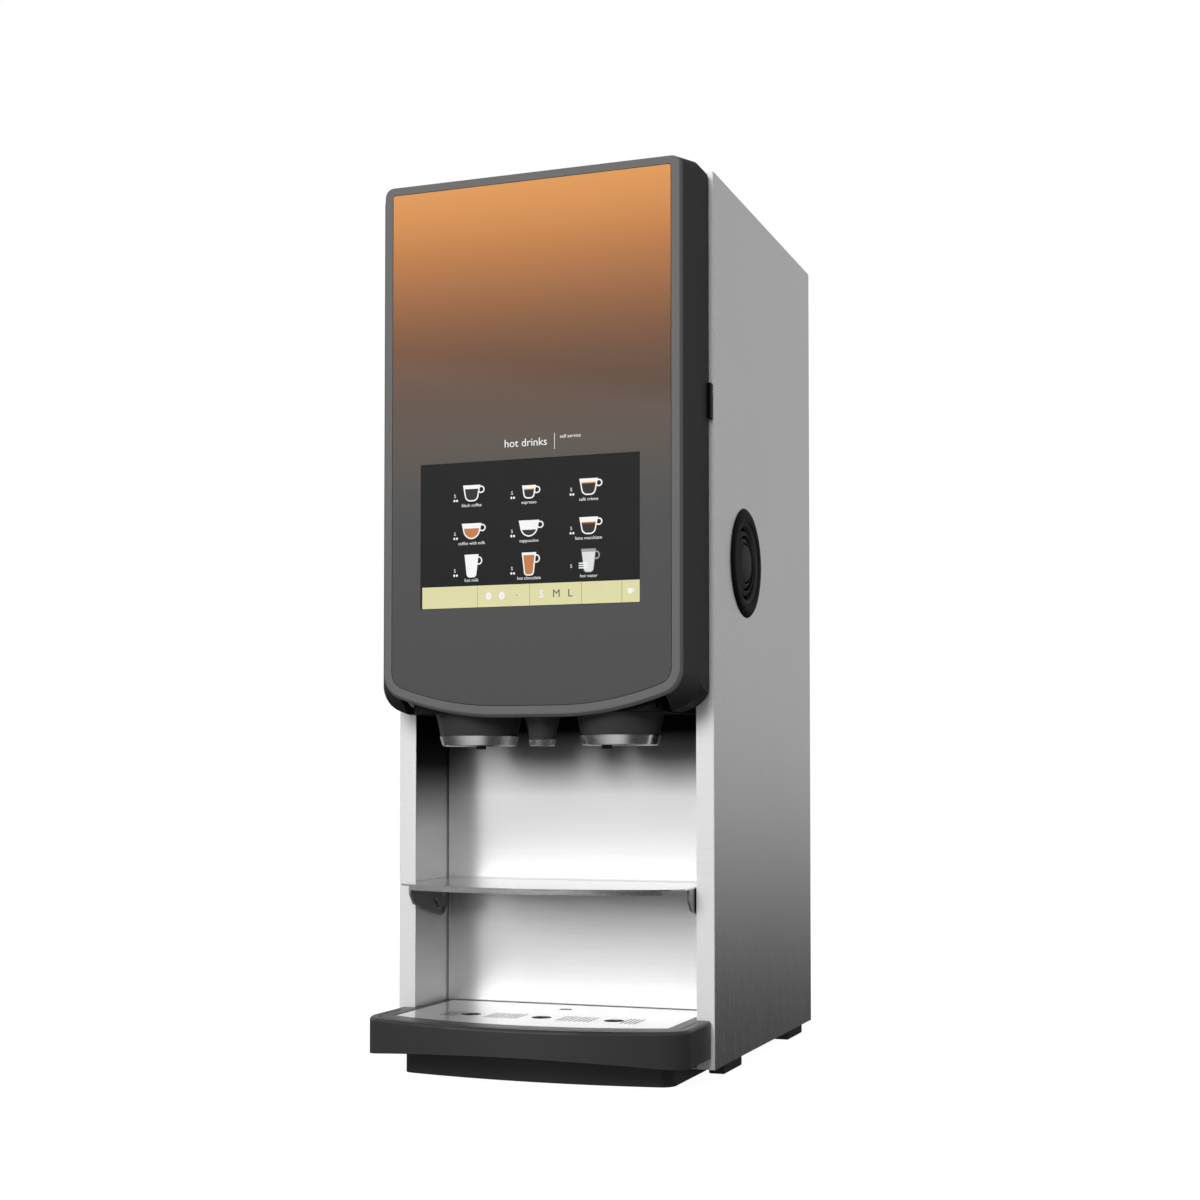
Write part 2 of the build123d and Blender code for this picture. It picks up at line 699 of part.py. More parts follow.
def grate_outline(inset):
    """The grate's outline, drawn in by an inset."""
    return bowed_outline(GRATE_HALF - inset, GRATE_BACK - inset, GRATE_HALF - inset,
                         -GRATE_REACH + GRATE_BOW + inset, -GRATE_REACH + inset, GRATE_CORNER)


def tray_arch():
    """What the arch under the tray's front edge takes away, drawn on X and Z."""
    with BuildSketch() as arch:
        with BuildLine():
            Polyline((TRAY_HALF, TRAY_BOTTOM_Z), (TRAY_HALF, 0), (-TRAY_HALF, 0),
                     (-TRAY_HALF, TRAY_BOTTOM_Z))
            ThreePointArc((-TRAY_HALF, TRAY_BOTTOM_Z), (0, TRAY_BOTTOM_Z + TRAY_ARCH),
                          (TRAY_HALF, TRAY_BOTTOM_Z))
        make_face()
    return arch.sketch


def drip_tray():
    """The moulded tray: a wide bowed front, a neck into the niche, a seat for the grate."""
    front = slab_z(tray_outline(0), TRAY_BOTTOM_Z, TRAY_RIM_Z)
    rim = front.edges().group_by(Axis.Z)[-1]
    rim = [e for e in rim if e.center().Y < -TRAY_FLANGE_GAP - 1]
    front = fillet(rim, TRAY_EDGE_ROUND)
    neck = NICHE_HALF - TRAY_GAP
    rear = block(-neck, neck, -TRAY_NECK, TRAY_BACK, TRAY_BOTTOM_Z, TRAY_RIM_Z)
    seat_z = GRATE_TOP - GRATE_THICK
    seat = slab_z(grate_outline(-FIT_GAP), seat_z, TRAY_RIM_Z)
    well_half = GRATE_HALF - GRATE_LEDGE
    well = block(-well_half, well_half, -PLINTH_FRONT + WELL_SETBACK, GRATE_BACK - GRATE_LEDGE,
                 TRAY_INSIDE_Z, seat_z)
    shallow = slab_z(grate_outline(GRATE_LEDGE), TRAY_INSIDE_Z + TRAY_ARCH, seat_z)
    groove = slab_z(tray_outline(RIM_GROOVE_INSET), TRAY_RIM_Z - RIM_GROOVE, TRAY_RIM_Z)
    groove -= slab_z(tray_outline(RIM_GROOVE_INSET + RIM_GROOVE), 0, TRAY_RIM_Z)
    groove -= block(-HALF, HALF, -RIM_GROOVE_END, 0, 0, TRAY_RIM_Z)
    under = slab_y(tray_arch(), -TRAY_REACH - 1, -PLINTH_FRONT + WELL_SETBACK / 2)
    bore = FLOAT_BORE / 2 + FLOAT_GAP
    guide = rod_z(TRAY_INSIDE_Z, FLOAT_GUIDE_TOP, 0, FLOAT_Y, bore + FLOAT_GUIDE_WALL)
    guide -= rod_z(TRAY_INSIDE_Z, FLOAT_GUIDE_TOP, 0, FLOAT_Y, bore)
    return front + rear - seat - well - shallow - groove - under + guide


def tray_grate():
    """The stainless grate: three drain holes, groups of slots and the float's window."""
    z0, z1 = GRATE_TOP - GRATE_THICK, GRATE_TOP
    plate = slab_z(grate_outline(0), z0, z1)
    cuts = [rod_z(z0, z1, x, DRAIN_Y, DRAIN_HOLE / 2) for x in (-OUTLET_X, 0, OUTLET_X)]
    cuts.append(rod_z(z0, z1, 0, FLOAT_Y, FLOAT_BORE / 2 + FLOAT_GAP))
    half_pitch = OUTLET_X / 2
    for place in SLOT_GROUPS:
        for i in range(SLOTS_IN_GROUP):
            x = place * half_pitch + (i - (SLOTS_IN_GROUP - 1) / 2) * SLOT_PITCH
            cuts.append(block(x - SLOT_WIDTH / 2, x + SLOT_WIDTH / 2, DRAIN_Y - SLOT_LENGTH / 2,
                              DRAIN_Y + SLOT_LENGTH / 2, z0, z1))
    return plate - cuts


def tray_float():
    """The full-tray float: a bob with a coloured stem up to the grate."""
    bob_top = FLOAT_BOTTOM + FLOAT_BOB
    bob = rod_z(FLOAT_BOTTOM, bob_top, 0, FLOAT_Y, FLOAT_BORE / 2)
    stem = rod_z(bob_top, GRATE_TOP - GRATE_SINK, 0, FLOAT_Y, FLOAT_STEM_R)
    return bob + fillet(stem.edges().group_by(Axis.Z)[-1], FLOAT_ROUND)


# ---------------------------------------------------------------- cup shelf
def shelf_outline(inset):
    return bowed_outline(SHELF_HALF - inset, NICHE_DEPTH - SHELF_BACK_GAP,
                         SHELF_HALF - SHELF_CORNER_IN, -SHELF_REACH + SHELF_BOW + inset,
                         -SHELF_REACH + inset, SHELF_TIP_RADIUS - inset)


def cup_shelf():
    """The fold-up shelf plate with its turned-down front lip."""
    z0 = SHELF_TOP - SHELF_THICK
    plate = slab_z(shelf_outline(0), z0, SHELF_TOP)
    lip = slab_z(shelf_outline(0), SHELF_TOP - SHELF_LIP, SHELF_TOP)
    lip -= slab_z(shelf_outline(SHELF_THICK), 0, SHELF_TOP)
    lip -= block(-HALF, HALF, -LIP_ENDS_Y, NICHE_DEPTH, 0, SHELF_TOP)
    return plate + lip


def ear_profile():
    """An ear, drawn on Y and Z: a round end about the pivot and a nose to the front."""
    top = SHELF_TOP - SHELF_THICK
    back = SHELF_PIVOT_Y + EAR_BACK
    low = SHELF_PIVOT_Z - EAR_RADIUS
    turn = 0.75
    with BuildSketch() as ear:
        with BuildLine():
            Polyline((SHELF_PIVOT_Y, low), (EAR_FRONT, SHELF_TOP - EAR_KNEE_DROP),
                     (-EAR_FRONT + EAR_CHIN_IN, SHELF_TOP - EAR_CHIN_DROP),
                     (-EAR_FRONT, SHELF_TOP - EAR_NOSE_DROP), (-EAR_FRONT, top), (back, top),
                     (back, SHELF_PIVOT_Z))
            ThreePointArc((back, SHELF_PIVOT_Z),
                          (SHELF_PIVOT_Y + EAR_BACK * turn, SHELF_PIVOT_Z - EAR_RADIUS * turn),
                          (SHELF_PIVOT_Y, low))
        make_face()
    return ear.sketch


def guide_point(turn):
    """A point on the guide slot's middle line, from the pivot, after a turn in degrees."""
    angle = math.radians(EAR_SLOT_START + turn)
    return EAR_SLOT_RADIUS * math.cos(angle), EAR_SLOT_RADIUS * math.sin(angle)


def ear_slot(half_width):
    """The quarter-turn guide slot about the pivot, drawn on Y and Z."""
    ring = Circle(EAR_SLOT_RADIUS + half_width) - Circle(EAR_SLOT_RADIUS - half_width)
    rays = [(4 * y, 4 * z) for y, z in (guide_point(0), guide_point(45), guide_point(90))]
    sector = make_face(Polyline((0, 0), *rays, close=True))
    ends = [Pos(*guide_point(turn)) * Circle(half_width) for turn in (0, 90)]
    slot = (ring & sector) + ends
    return Pos(SHELF_PIVOT_Y, SHELF_PIVOT_Z) * slot


def shelf_ears():
    """The two ears under the shelf, each with a pivot hole and a guide slot."""
    ear = slab_x(ear_profile(), EAR_OUTER - EAR_THICK, EAR_OUTER)
    ear -= rod_x(0, HALF, SHELF_PIVOT_Y, SHELF_PIVOT_Z, PIVOT_PIN / 2 + PIN_CLEARANCE)
    ear -= slab_x(ear_slot(GUIDE_STUD / 2 + FIT_GAP), 0, HALF)
    return Compound(children=[ear, mirrored(ear)])


def shelf_pins():
    """The pivot pins and guide studs that stand on the niche's side walls."""
    dy, dz = guide_point(0)
    inner = EAR_OUTER - EAR_THICK
    pin = rod_x(inner - PIVOT_PIN_END, NICHE_HALF, SHELF_PIVOT_Y, SHELF_PIVOT_Z, PIVOT_PIN / 2)
    stud = rod_x(inner - GUIDE_STUD_END, NICHE_HALF, SHELF_PIVOT_Y + dy, SHELF_PIVOT_Z + dz,
                 GUIDE_STUD / 2)
    return Compound(children=[pin, stud, mirrored(pin), mirrored(stud)])


# ---------------------------------------------------------------- dispensing head
def dispense_head():
    """The black moulding over the niche: outlets hang from it and hoses run inside it."""
    z0, z1 = NICHE_TOP, NICHE_TOP + HEAD_HEIGHT
    floor_top = z0 + HEAD_WALL
    body = block(-HEAD_HALF, HEAD_HALF, -HEAD_FRONT, NICHE_DEPTH, z0, z1)
    body = fillet(body.edges().filter_by(Axis.Z).sort_by(Axis.Y)[0:2], HEAD_CORNER)
    inner = HEAD_HALF - HEAD_WALL
    body -= block(-inner, inner, -HEAD_FRONT + HEAD_WALL, NICHE_DEPTH, floor_top, z1)
    body += block(-NICHE_HALF, NICHE_HALF, SHEET + RETURN_LIP, NICHE_DEPTH, z0, floor_top)
    pipes = [rod_z(z0, floor_top, x, OUTLET_Y, HOSE_BORE_R) for x in (-OUTLET_X, OUTLET_X)]
    pipes.append(rod_z(z0, floor_top, 0, WATER_Y, HOSE_BORE_R))
    return body - pipes


def drink_outlet(x, tip_dx):
    """A wide outlet body with a spout tip inside, fed through a channel in its roof."""
    top, ring = NICHE_TOP, OUTLET_RING_TOP
    roof, feed_z = top - OUTLET_ROOF, top - OUTLET_FEED
    waist_r = OUTLET_TOP_R - 1.5
    neck_r = OUTLET_RING_R - 1.0
    body = turned([(0, roof), (OUTLET_MOUTH_R, roof), (OUTLET_MOUTH_R - 1, ring), (neck_r, ring),
                   (neck_r + 0.6, ring + 4), (waist_r, feed_z), (OUTLET_TOP_R, top), (0, top)],
                  x, OUTLET_Y)
    tip_x = x + tip_dx
    tip_z = OUTLET_RING_BOTTOM - TIP_DROP
    tip = rod_z(tip_z, roof, tip_x, OUTLET_Y, TIP_TUBE_R)
    bore = rod_z(tip_z, feed_z, tip_x, OUTLET_Y, TIP_BORE_R)
    feed = block(min(x, tip_x), max(x, tip_x), OUTLET_Y - TIP_BORE_R, OUTLET_Y + TIP_BORE_R,
                 feed_z, top)
    ends = [rod_z(feed_z, top, end, OUTLET_Y, HOSE_BORE_R) for end in (x, tip_x)]
    return body + tip - bore - feed - ends


def hot_water_nozzle():
    """The small nozzle between the outlets."""
    top, ring, r = NICHE_TOP, WATER_RING_TOP, WATER_RING_R
    return turned([(WATER_BORE_R, ring - 4), (WATER_TIP_R, ring - 5), (WATER_TIP_R, ring),
                   (r - 0.8, ring), (r + 1.5, ring + 12), (WATER_TOP_R, top), (WATER_BORE_R, top)],
                  0, WATER_Y)


def nozzle_rings():
    """The chrome rings at the mouths of the outlets."""
    top, bottom = OUTLET_RING_TOP, OUTLET_RING_BOTTOM
    edge = 0.8
    wide = [(OUTLET_RING_BORE_R, bottom + 1), (OUTLET_RING_TIP_R - edge, bottom),
            (OUTLET_RING_TIP_R, bottom + edge), (OUTLET_RING_R, top - edge),
            (OUTLET_RING_R - edge, top), (OUTLET_RING_BORE_R, top)]
    rings = [turned(wide, x, OUTLET_Y) for x in (-OUTLET_X, OUTLET_X)]
    r, top, bottom = WATER_RING_R, WATER_RING_TOP, WATER_RING_BOTTOM
    small = [(WATER_TIP_R, bottom), (r - 2 * edge, bottom), (r - edge, bottom + edge),
             (r, top - edge), (r - edge, top), (WATER_TIP_R, top)]
    return Compound(children=[*rings, turned(small, 0, WATER_Y)])


# ---------------------------------------------------------------- door
def door_outline(half, top, bottom, sweep, corner, top_corner):
    """The door seen from the front: a flat-bottomed curve that rises to both sides."""
    reach = half - DOOR_FLAT
    end_z = bottom + sweep - math.sqrt(sweep**2 - reach**2)
    turn = math.asin(reach / sweep) / 2
    mid_x = DOOR_FLAT + sweep * math.sin(turn)
    mid_z = bottom + sweep * (1 - math.cos(turn))
    with BuildSketch() as sketch:
        with BuildLine():
            Line((-DOOR_FLAT, bottom), (DOOR_FLAT, bottom))
            ThreePointArc((DOOR_FLAT, bottom), (mid_x, mid_z), (half, end_z))
            Polyline((half, end_z), (half, top), (-half, top), (-half, end_z))
            ThreePointArc((-half, end_z), (-mid_x, mid_z), (-DOOR_FLAT, bottom))
        make_face()
        fillet(sketch.vertices().sort_by(Axis.Y)[-2:], top_corner)
        ends = [v for v in sketch.vertices() if abs(v.Y - end_z) < 0.01]
        fillet(ends, corner)
    return sketch.sketch


def front_outline(inset):
    return door_outline(DOOR_FACE_HALF - inset, DOOR_TOP - inset, DOOR_BOTTOM + inset,
                        DOOR_SWEEP_RADIUS - inset, DOOR_CORNER - inset,
                        max(DOOR_TOP_CORNER - inset, DOOR_SMALLEST_CORNER))


def rear_outline(inset):
    return door_outline(DOOR_HALF - inset, DOOR_TOP - inset, DOOR_BOTTOM - DOOR_REAR_DROP + inset,
                        DOOR_SWEEP_RADIUS + DOOR_BEVEL - inset,
                        DOOR_CORNER + DOOR_REAR_CORNER_EXTRA - inset,
                        max(DOOR_TOP_CORNER - inset, DOOR_SMALLEST_CORNER))


def door_solid(inset, face_y):
    """The door's outer form, or its hollow: a bevelled front on a straight-sided back."""
    knee_y = DOOR_FACE + DOOR_BEVEL_DEPTH
    front = Plane.XZ.offset(-face_y) * front_outline(inset)
    knee = Plane.XZ.offset(-knee_y) * rear_outline(inset)
    return loft([front, knee], ruled=True) + slab_y(rear_outline(inset), knee_y, DOOR_BACK)


def catch_side_taper(wall):
    """The wedge that narrows the door's catch side from the bevel to the back, a wall inwards."""
    x, far, knee_y = DOOR_HALF - wall, HALF + DOOR_WALL, DOOR_FACE + DOOR_BEVEL_DEPTH
    with BuildSketch() as sketch:
        with BuildLine():
            Polyline((x, knee_y), (far, knee_y), (far, DOOR_BACK), (x - DOOR_CATCH_TAPER, DOOR_BACK),
                     close=True)
        make_face()
    return slab_z(sketch.sketch, 0, CABINET_HEIGHT)


def hinge_space(z):
    """What one hinge adds to the door shell, a boss, and what it takes away, a slot and a bore."""
    boss = rod_z(z - HINGE_BOSS, z + HINGE_BOSS, HINGE_X, HINGE_Y, HINGE_INSET - 0.01)
    slot_half = HINGE_LEAF / 2 + HINGE_LEAF_GAP
    slot = block(-HALF, HINGE_X + HINGE_SLOT_DEPTH, HINGE_Y - HINGE_SLOT_REACH, 0,
                 z - slot_half, z + slot_half)
    bore = rod_z(z - HINGE_BOSS, z + HINGE_BOSS, HINGE_X, HINGE_Y, HINGE_PIN / 2 + PIN_CLEARANCE)
    return boss, slot + bore


def door_shell():
    """The moulded door: a shell open to the back, with hinge bosses and a seat for the film."""
    shell = door_solid(0, DOOR_FACE)
    front_edges = [e for e in shell.edges() if abs(e.center().Y - DOOR_FACE) < 0.01]
    shell = fillet(front_edges, DOOR_FRONT_ROUND)
    rear_left = [e for e in shell.edges().filter_by(Axis.Z)
                 if abs(e.center().X + DOOR_HALF) < 0.01 and abs(e.center().Y - DOOR_BACK) < 0.01]
    shell = fillet(rear_left, HINGE_INSET - 0.01) - catch_side_taper(0)
    front_wall_y = DOOR_FACE + DOOR_FRONT_WALL
    shell -= door_solid(DOOR_WALL, front_wall_y) - catch_side_taper(DOOR_WALL)
    notch_half = HEAD_HALF + HEAD_NOTCH_SIDE
    shell -= block(-notch_half, notch_half, front_wall_y, 0, 0,
                   NICHE_TOP + HEAD_HEIGHT + HEAD_NOTCH_TOP)
    for z in (HINGE_TOP_Z, HINGE_BOTTOM_Z):
        boss, space = hinge_space(z)
        shell = shell + boss - space
    seat = slab_y(front_outline(FILM_INSET - FILM_GROOVE), DOOR_FACE, DOOR_FACE + FILM_THICK)
    x, z = SCREEN_WIDTH / 2 + FIT_GAP, SCREEN_BOTTOM
    window = block(-x, x, DOOR_FACE, front_wall_y, z - FIT_GAP, z + SCREEN_HEIGHT + FIT_GAP)
    catch_x = DOOR_HALF - DOOR_WALL - DOOR_CATCH_TAPER - CATCH_GAP
    catch = block(catch_x, HALF, -CATCH_BACK - CATCH_DEPTH - CATCH_GAP, 0,
                  CATCH_BOTTOM - CATCH_GAP, CATCH_BOTTOM + CATCH_HEIGHT + CATCH_GAP)
    return shell - seat - window - catch


def front_film():
    """The printed front panel, with the screen's window."""
    film = slab_y(front_outline(FILM_INSET), DOOR_FACE, DOOR_FACE + FILM_THICK)
    x, z = SCREEN_WIDTH / 2 + SCREEN_FILM_GAP, SCREEN_BOTTOM - SCREEN_FILM_GAP
    return film - block(-x, x, DOOR_FACE, DOOR_FACE + FILM_THICK, z,
                        z + SCREEN_HEIGHT + 2 * SCREEN_FILM_GAP)


def touch_display():
    """The touch screen module: glass in the film's window, and its metal can behind."""
    x, z0, z1 = SCREEN_WIDTH / 2, SCREEN_BOTTOM, SCREEN_BOTTOM + SCREEN_HEIGHT
    glass_back = DOOR_FACE + DOOR_FRONT_WALL
    inset = SCREEN_CAN_INSET
    glass = block(-x, x, DOOR_FACE, glass_back, z0, z1)
    can = block(-x + inset, x - inset, glass_back, DOOR_FACE + SCREEN_THICK, z0 + inset, z1 - inset)
    return glass + can


def board_posts(half, y0, y1, z0, z1):
    """Four posts at a circuit board's corners."""
    x, inset = half - BOARD_POST_INSET, BOARD_POST_INSET
    return [rod_y(y0, y1, side * x, z, BOARD_POST_R)
            for side in (-1, 1) for z in (z0 + inset, z1 - inset)]


def display_board():
    """The user board behind the screen, on four posts."""
    y0 = DOOR_FACE + SCREEN_THICK
    y1 = y0 + USER_BOARD_POST
    y2 = y1 + BOARD_THICK
    z0 = SCREEN_BOTTOM + USER_BOARD_FROM_SCREEN
    z1 = z0 + USER_BOARD_HEIGHT
    half = USER_BOARD_WIDTH / 2
    board = block(-half, half, y1, y2, z0, z1)
    chip_z = z0 + CHIP_FROM_BOTTOM
    chips = [block(x - CHIP_SIZE / 2, x + CHIP_SIZE / 2, y2, y2 + CHIP_THICK, chip_z,
                   chip_z + CHIP_SIZE) for x in CHIP_PLACES]
    return board + chips + board_posts(half, y0, y1, z0, z1)


def door_inner_cover():
    """The sheet that closes the door's back, with its edges folded in."""
    y1 = -INNER_COVER_BACK
    y0 = y1 - INNER_COVER_FOLD
    x = NICHE_HALF
    z0 = NICHE_TOP + HEAD_HEIGHT + INNER_COVER_MARGIN
    z1 = DOOR_TOP - INNER_COVER_MARGIN
    sheet = block(-x, x, y0, y1, z0, z1)
    return sheet - block(-x + SHEET, x - SHEET, y0, y1 - SHEET, z0 + SHEET, z1 - SHEET)


def door_catch():
    """The finger tab of the door's catch, in the gap beside the cabinet."""
    z0, z1 = CATCH_BOTTOM, CATCH_BOTTOM + CATCH_HEIGHT
    y0, y1 = -CATCH_BACK - CATCH_DEPTH, -CATCH_BACK
    x = DOOR_HALF - DOOR_WALL
    tab = block(x, HALF - CATCH_SIDE_GAP, y0, y1, z0, z1)
    base = block(x - CATCH_BASE, x, y0, y0 + CATCH_BASE_DEPTH, z0, z1)
    return chamfer(tab.edges().filter_by(Axis.Z).sort_by(Axis.X)[-2:], CATCH_CHAMFER) + base


def hinge_bracket(z):
    """A leaf from the cabinet's flange with its welded hinge pin."""
    z0, z1 = z - HINGE_LEAF / 2, z + HINGE_LEAF / 2
    leaf = rod_z(z0, z1, HINGE_X, HINGE_Y, HINGE_INSET - HINGE_NECK_GAP)
    leaf += block(HINGE_X - HINGE_LEAF_HALF, HINGE_X + HINGE_LEAF_HALF, HINGE_Y, 0, z0, z1)
    return leaf + rod_z(z - HINGE_BOSS, z + HINGE_BOSS, HINGE_X, HINGE_Y, HINGE_PIN / 2)


# ---------------------------------------------------------------- inner frame
def chassis_deck():
    """The sheet between the wet lower bay and the works above it."""
    x = INNER_HALF - FIT_GAP
    y0, y1 = NICHE_DEPTH + SHEET + FIT_GAP, CABINET_DEPTH - SHEET - FIT_GAP
    return block(-x, x, y0, y1, DECK_Z, DECK_TOP)


def mounting_wall():
    """The upright sheet that carries the canister drives."""
    x = INNER_HALF - FIT_GAP
    wall = block(-x, x, WALL_Y, WALL_BACK, DECK_TOP, CABINET_HEIGHT - WALL_TOP_GAP)
    return wall - [rod_y(WALL_Y, WALL_BACK, lane, AUGER_Z, SHAFT_HOLE_R) for lane in LANES.values()]


def canister_shelf():
    """The sheet that the canisters stand on."""
    x = INNER_HALF - FIT_GAP
    return block(-x, x, CANISTER_FRONT, WALL_Y, SHELF_DECK_Z, SHELF_DECK_Z + SHEET)


def mixer_bracket():
    """The folded sheet that hangs from the canister shelf and carries the whippers."""
    x = CANISTER_PITCH + BRACKET_HALF_EXTRA
    web = block(-x, x, BRACKET_Y, BRACKET_BACK, MIXER_Z - BRACKET_BELOW_MIXER, SHELF_DECK_Z)
    fold = block(-x, x, BRACKET_Y, BRACKET_Y + BRACKET_FOLD, SHELF_DECK_Z - SHEET, SHELF_DECK_Z)
    holes = [rod_y(BRACKET_Y, BRACKET_BACK, lane, MIXER_Z, WHIP_HOLE_R) for lane in LANES.values()]
    return web + fold - holes


# ---------------------------------------------------------------- canisters and mixers
def canister_profile(x, inset):
    """A canister's section on X and Z: a bin that narrows to the auger's trough."""
    trough = Pos(x, AUGER_Z) * Circle(TROUGH_RADIUS - inset)
    half = CANISTER_WIDTH / 2 - inset
    low = AUGER_Z + CANISTER_SLOPE
    side = Pos(x, (low + CANISTER_TOP) / 2) * Rectangle(2 * half, CANISTER_TOP - low)
    return make_hull(trough.edges() + side.edges())


def canister(x):
    """A canister: bin, trough on a skid, and the spout that the elbow turns on."""
    wall, r = CANISTER_WALL, TROUGH_RADIUS
    inner = CANISTER_WIDTH / 2 - wall
    y0, y1 = CANISTER_FRONT, CANISTER_BACK
    bin_body = slab_y(canister_profile(x, 0), y0, y1)
    skid = block(x - r, x + r, y0 + SKID_MARGIN, y1 - SKID_MARGIN, SHELF_DECK_Z + SHEET, AUGER_Z)
    skid -= block(x - r + SKID_WALL, x + r - SKID_WALL, y0, y1, SHELF_DECK_Z, AUGER_Z)
    bin_body += skid - rod_y(y0, y1, x, AUGER_Z, r - wall / 2)
    spout = rod_y(y0 - SPOUT_REACH, y0, x, AUGER_Z, SPOUT_TUBE_R)
    hollow = slab_y(canister_profile(x, wall), y0 + wall, y1 - wall)
    mouth = block(x - inner, x + inner, y0 + wall, y1 - wall, CANISTER_TOP - CANISTER_RIM, CANISTER_TOP)
    bore = rod_y(y0 - SPOUT_REACH, y0 + wall, x, AUGER_Z, SPOUT_TUBE_R - SPOUT_TUBE_WALL)
    drive = rod_y(y1 - wall, y1, x, AUGER_Z, AUGER_SHAFT / 2 + PIN_CLEARANCE)
    return bin_body + spout - hollow - mouth - bore - drive


def canister_lids():
    """Three flat lids, each with a finger grip."""
    lids = []
    half = CANISTER_WIDTH / 2
    z0, z1 = CANISTER_TOP, CANISTER_TOP + LID_THICK
    grip_y = CANISTER_FRONT + LID_GRIP_FRONT
    for x in LANES.values():
        lid = block(x - half, x + half, CANISTER_FRONT, CANISTER_BACK, z0, z1)
        lid += block(x - LID_GRIP_HALF, x + LID_GRIP_HALF, grip_y, grip_y + LID_GRIP_DEPTH, z1,
                     z1 + LID_GRIP_HEIGHT)
        lids.append(lid)
    return Compound(children=lids)


def canister_elbow(x):
    """The swivelling outlet that drops the powder into its bowl."""
    y0, y1 = ELBOW_Y - ELBOW_TUBE_R - ELBOW_NOSE, CANISTER_FRONT - FIT_GAP
    r = SPOUT_TUBE_R + FIT_GAP / 2
    bottom = AUGER_Z - ELBOW_DROP
    body = rod_y(y0, y1, x, AUGER_Z, r + ELBOW_WALL)
    drop = rod_z(bottom, AUGER_Z, x, ELBOW_Y, ELBOW_TUBE_R)
    chamber = rod_y(y0 + ELBOW_WALL, y1, x, AUGER_Z, r)
    bore = rod_z(bottom, AUGER_Z, x, ELBOW_Y, ELBOW_TUBE_R - ELBOW_WALL)
    return body + drop - chamber - bore


def auger(x):
    """The dosing auger: a shaft with cut flights, each disc tilted to push the powder on."""
    shaft = rod_y(CANISTER_FRONT - AUGER_NOSE, WALL_BACK + AUGER_TAIL, x, AUGER_Z, AUGER_SHAFT / 2)
    flights = []
    count = int((CANISTER_BACK - CANISTER_FRONT - AUGER_START - AUGER_END) / AUGER_PITCH)
    for i in range(count):
        y = CANISTER_FRONT + AUGER_START + i * AUGER_PITCH
        disc = Rot(90, 0, 0) * Cylinder(AUGER_RADIUS, AUGER_FLIGHT)
        flights.append(Pos(x, y, AUGER_Z) * Rot(AUGER_TILT, 0, 0) * disc)
    coupling = rod_y(CANISTER_BACK + COUPLING_GAP, WALL_Y - COUPLING_GAP, x, AUGER_Z,
                     AUGER_SHAFT / 2 + COUPLING_WALL)
    return shaft + flights + coupling


def auger_motors():
    """The gear motors behind the mounting wall, one for each auger."""
    motors = []
    y1 = WALL_BACK + GEARBOX_DEPTH
    for x in LANES.values():
        gearbox = block(x - GEARBOX_HALF, x + GEARBOX_HALF, WALL_BACK, y1, AUGER_Z - GEARBOX_BELOW,
                        AUGER_Z + GEARBOX_ABOVE)
        motor = rod_y(y1, y1 + DRIVE_MOTOR_LENGTH, x, AUGER_Z + DRIVE_MOTOR_RISE, DRIVE_MOTOR_R)
        bore = rod_y(WALL_BACK, WALL_BACK + DRIVE_BORE_DEPTH, x, AUGER_Z,
                     AUGER_SHAFT / 2 + PIN_CLEARANCE)
        motors.append(gearbox + motor - bore)
    return Compound(children=motors)


def bowl_funnel(x, wall):
    """A bowl's funnel as a solid, drawn in by a wall."""
    neck_z, rim_z = MIXER_Z + BOWL_NECK_RISE, BOWL_TOP_Z - BOWL_RIM
    neck_r, r = BOWL_NECK_R + BOWL_WALL - wall, BOWL_RADIUS - wall
    return turned([(0, neck_z), (neck_r, neck_z), (r, rim_z), (r, BOWL_TOP_Z), (0, BOWL_TOP_Z)],
                  x, ELBOW_Y)


def mixing_bowl(x):
    """A bowl: funnel, whipping chamber and hose spigot in one moulding."""
    y0, y1 = ELBOW_Y - BOWL_FRONT, BRACKET_Y - FIT_GAP
    wall = BOWL_WALL
    neck_z = MIXER_Z + BOWL_NECK_RISE
    body = bowl_funnel(x, 0) + rod_y(y0, y1, x, MIXER_Z, MIXER_RADIUS)
    body += rod_z(SPIGOT_Z, MIXER_Z, x, ELBOW_Y, HOSE / 2)
    body -= rod_y(y0 + wall, y1 - wall, x, MIXER_Z, MIXER_RADIUS - wall)
    body -= bowl_funnel(x, wall)
    body -= rod_z(neck_z - BOWL_NECK_SINK, neck_z, x, ELBOW_Y, BOWL_NECK_R)
    body -= rod_z(SPIGOT_Z, MIXER_Z, x, ELBOW_Y, HOSE / 2 - SPIGOT_WALL)
    return body - rod_y(y1 - wall, y1, x, MIXER_Z, WHIP_SHAFT / 2 + PIN_CLEARANCE)


def impeller(x):
    """The whipper: a bladed disc on the motor's shaft."""
    y = BRACKET_Y - WHIP_SETBACK
    shaft = rod_y(y, BRACKET_BACK + WHIP_TAIL, x, MIXER_Z, WHIP_SHAFT / 2)
    disc = rod_y(y, y + WHIP_DISC, x, MIXER_Z, WHIP_R)
    middle = Pos(x, y - WHIP_BLADE / 2, MIXER_Z)
    blades = [middle * Rot(0, a, 0) * Box(2 * WHIP_R, WHIP_BLADE + 0.01, WHIP_BLADE_THICK)
              for a in (0, 60, 120)]
    return shaft + disc + blades


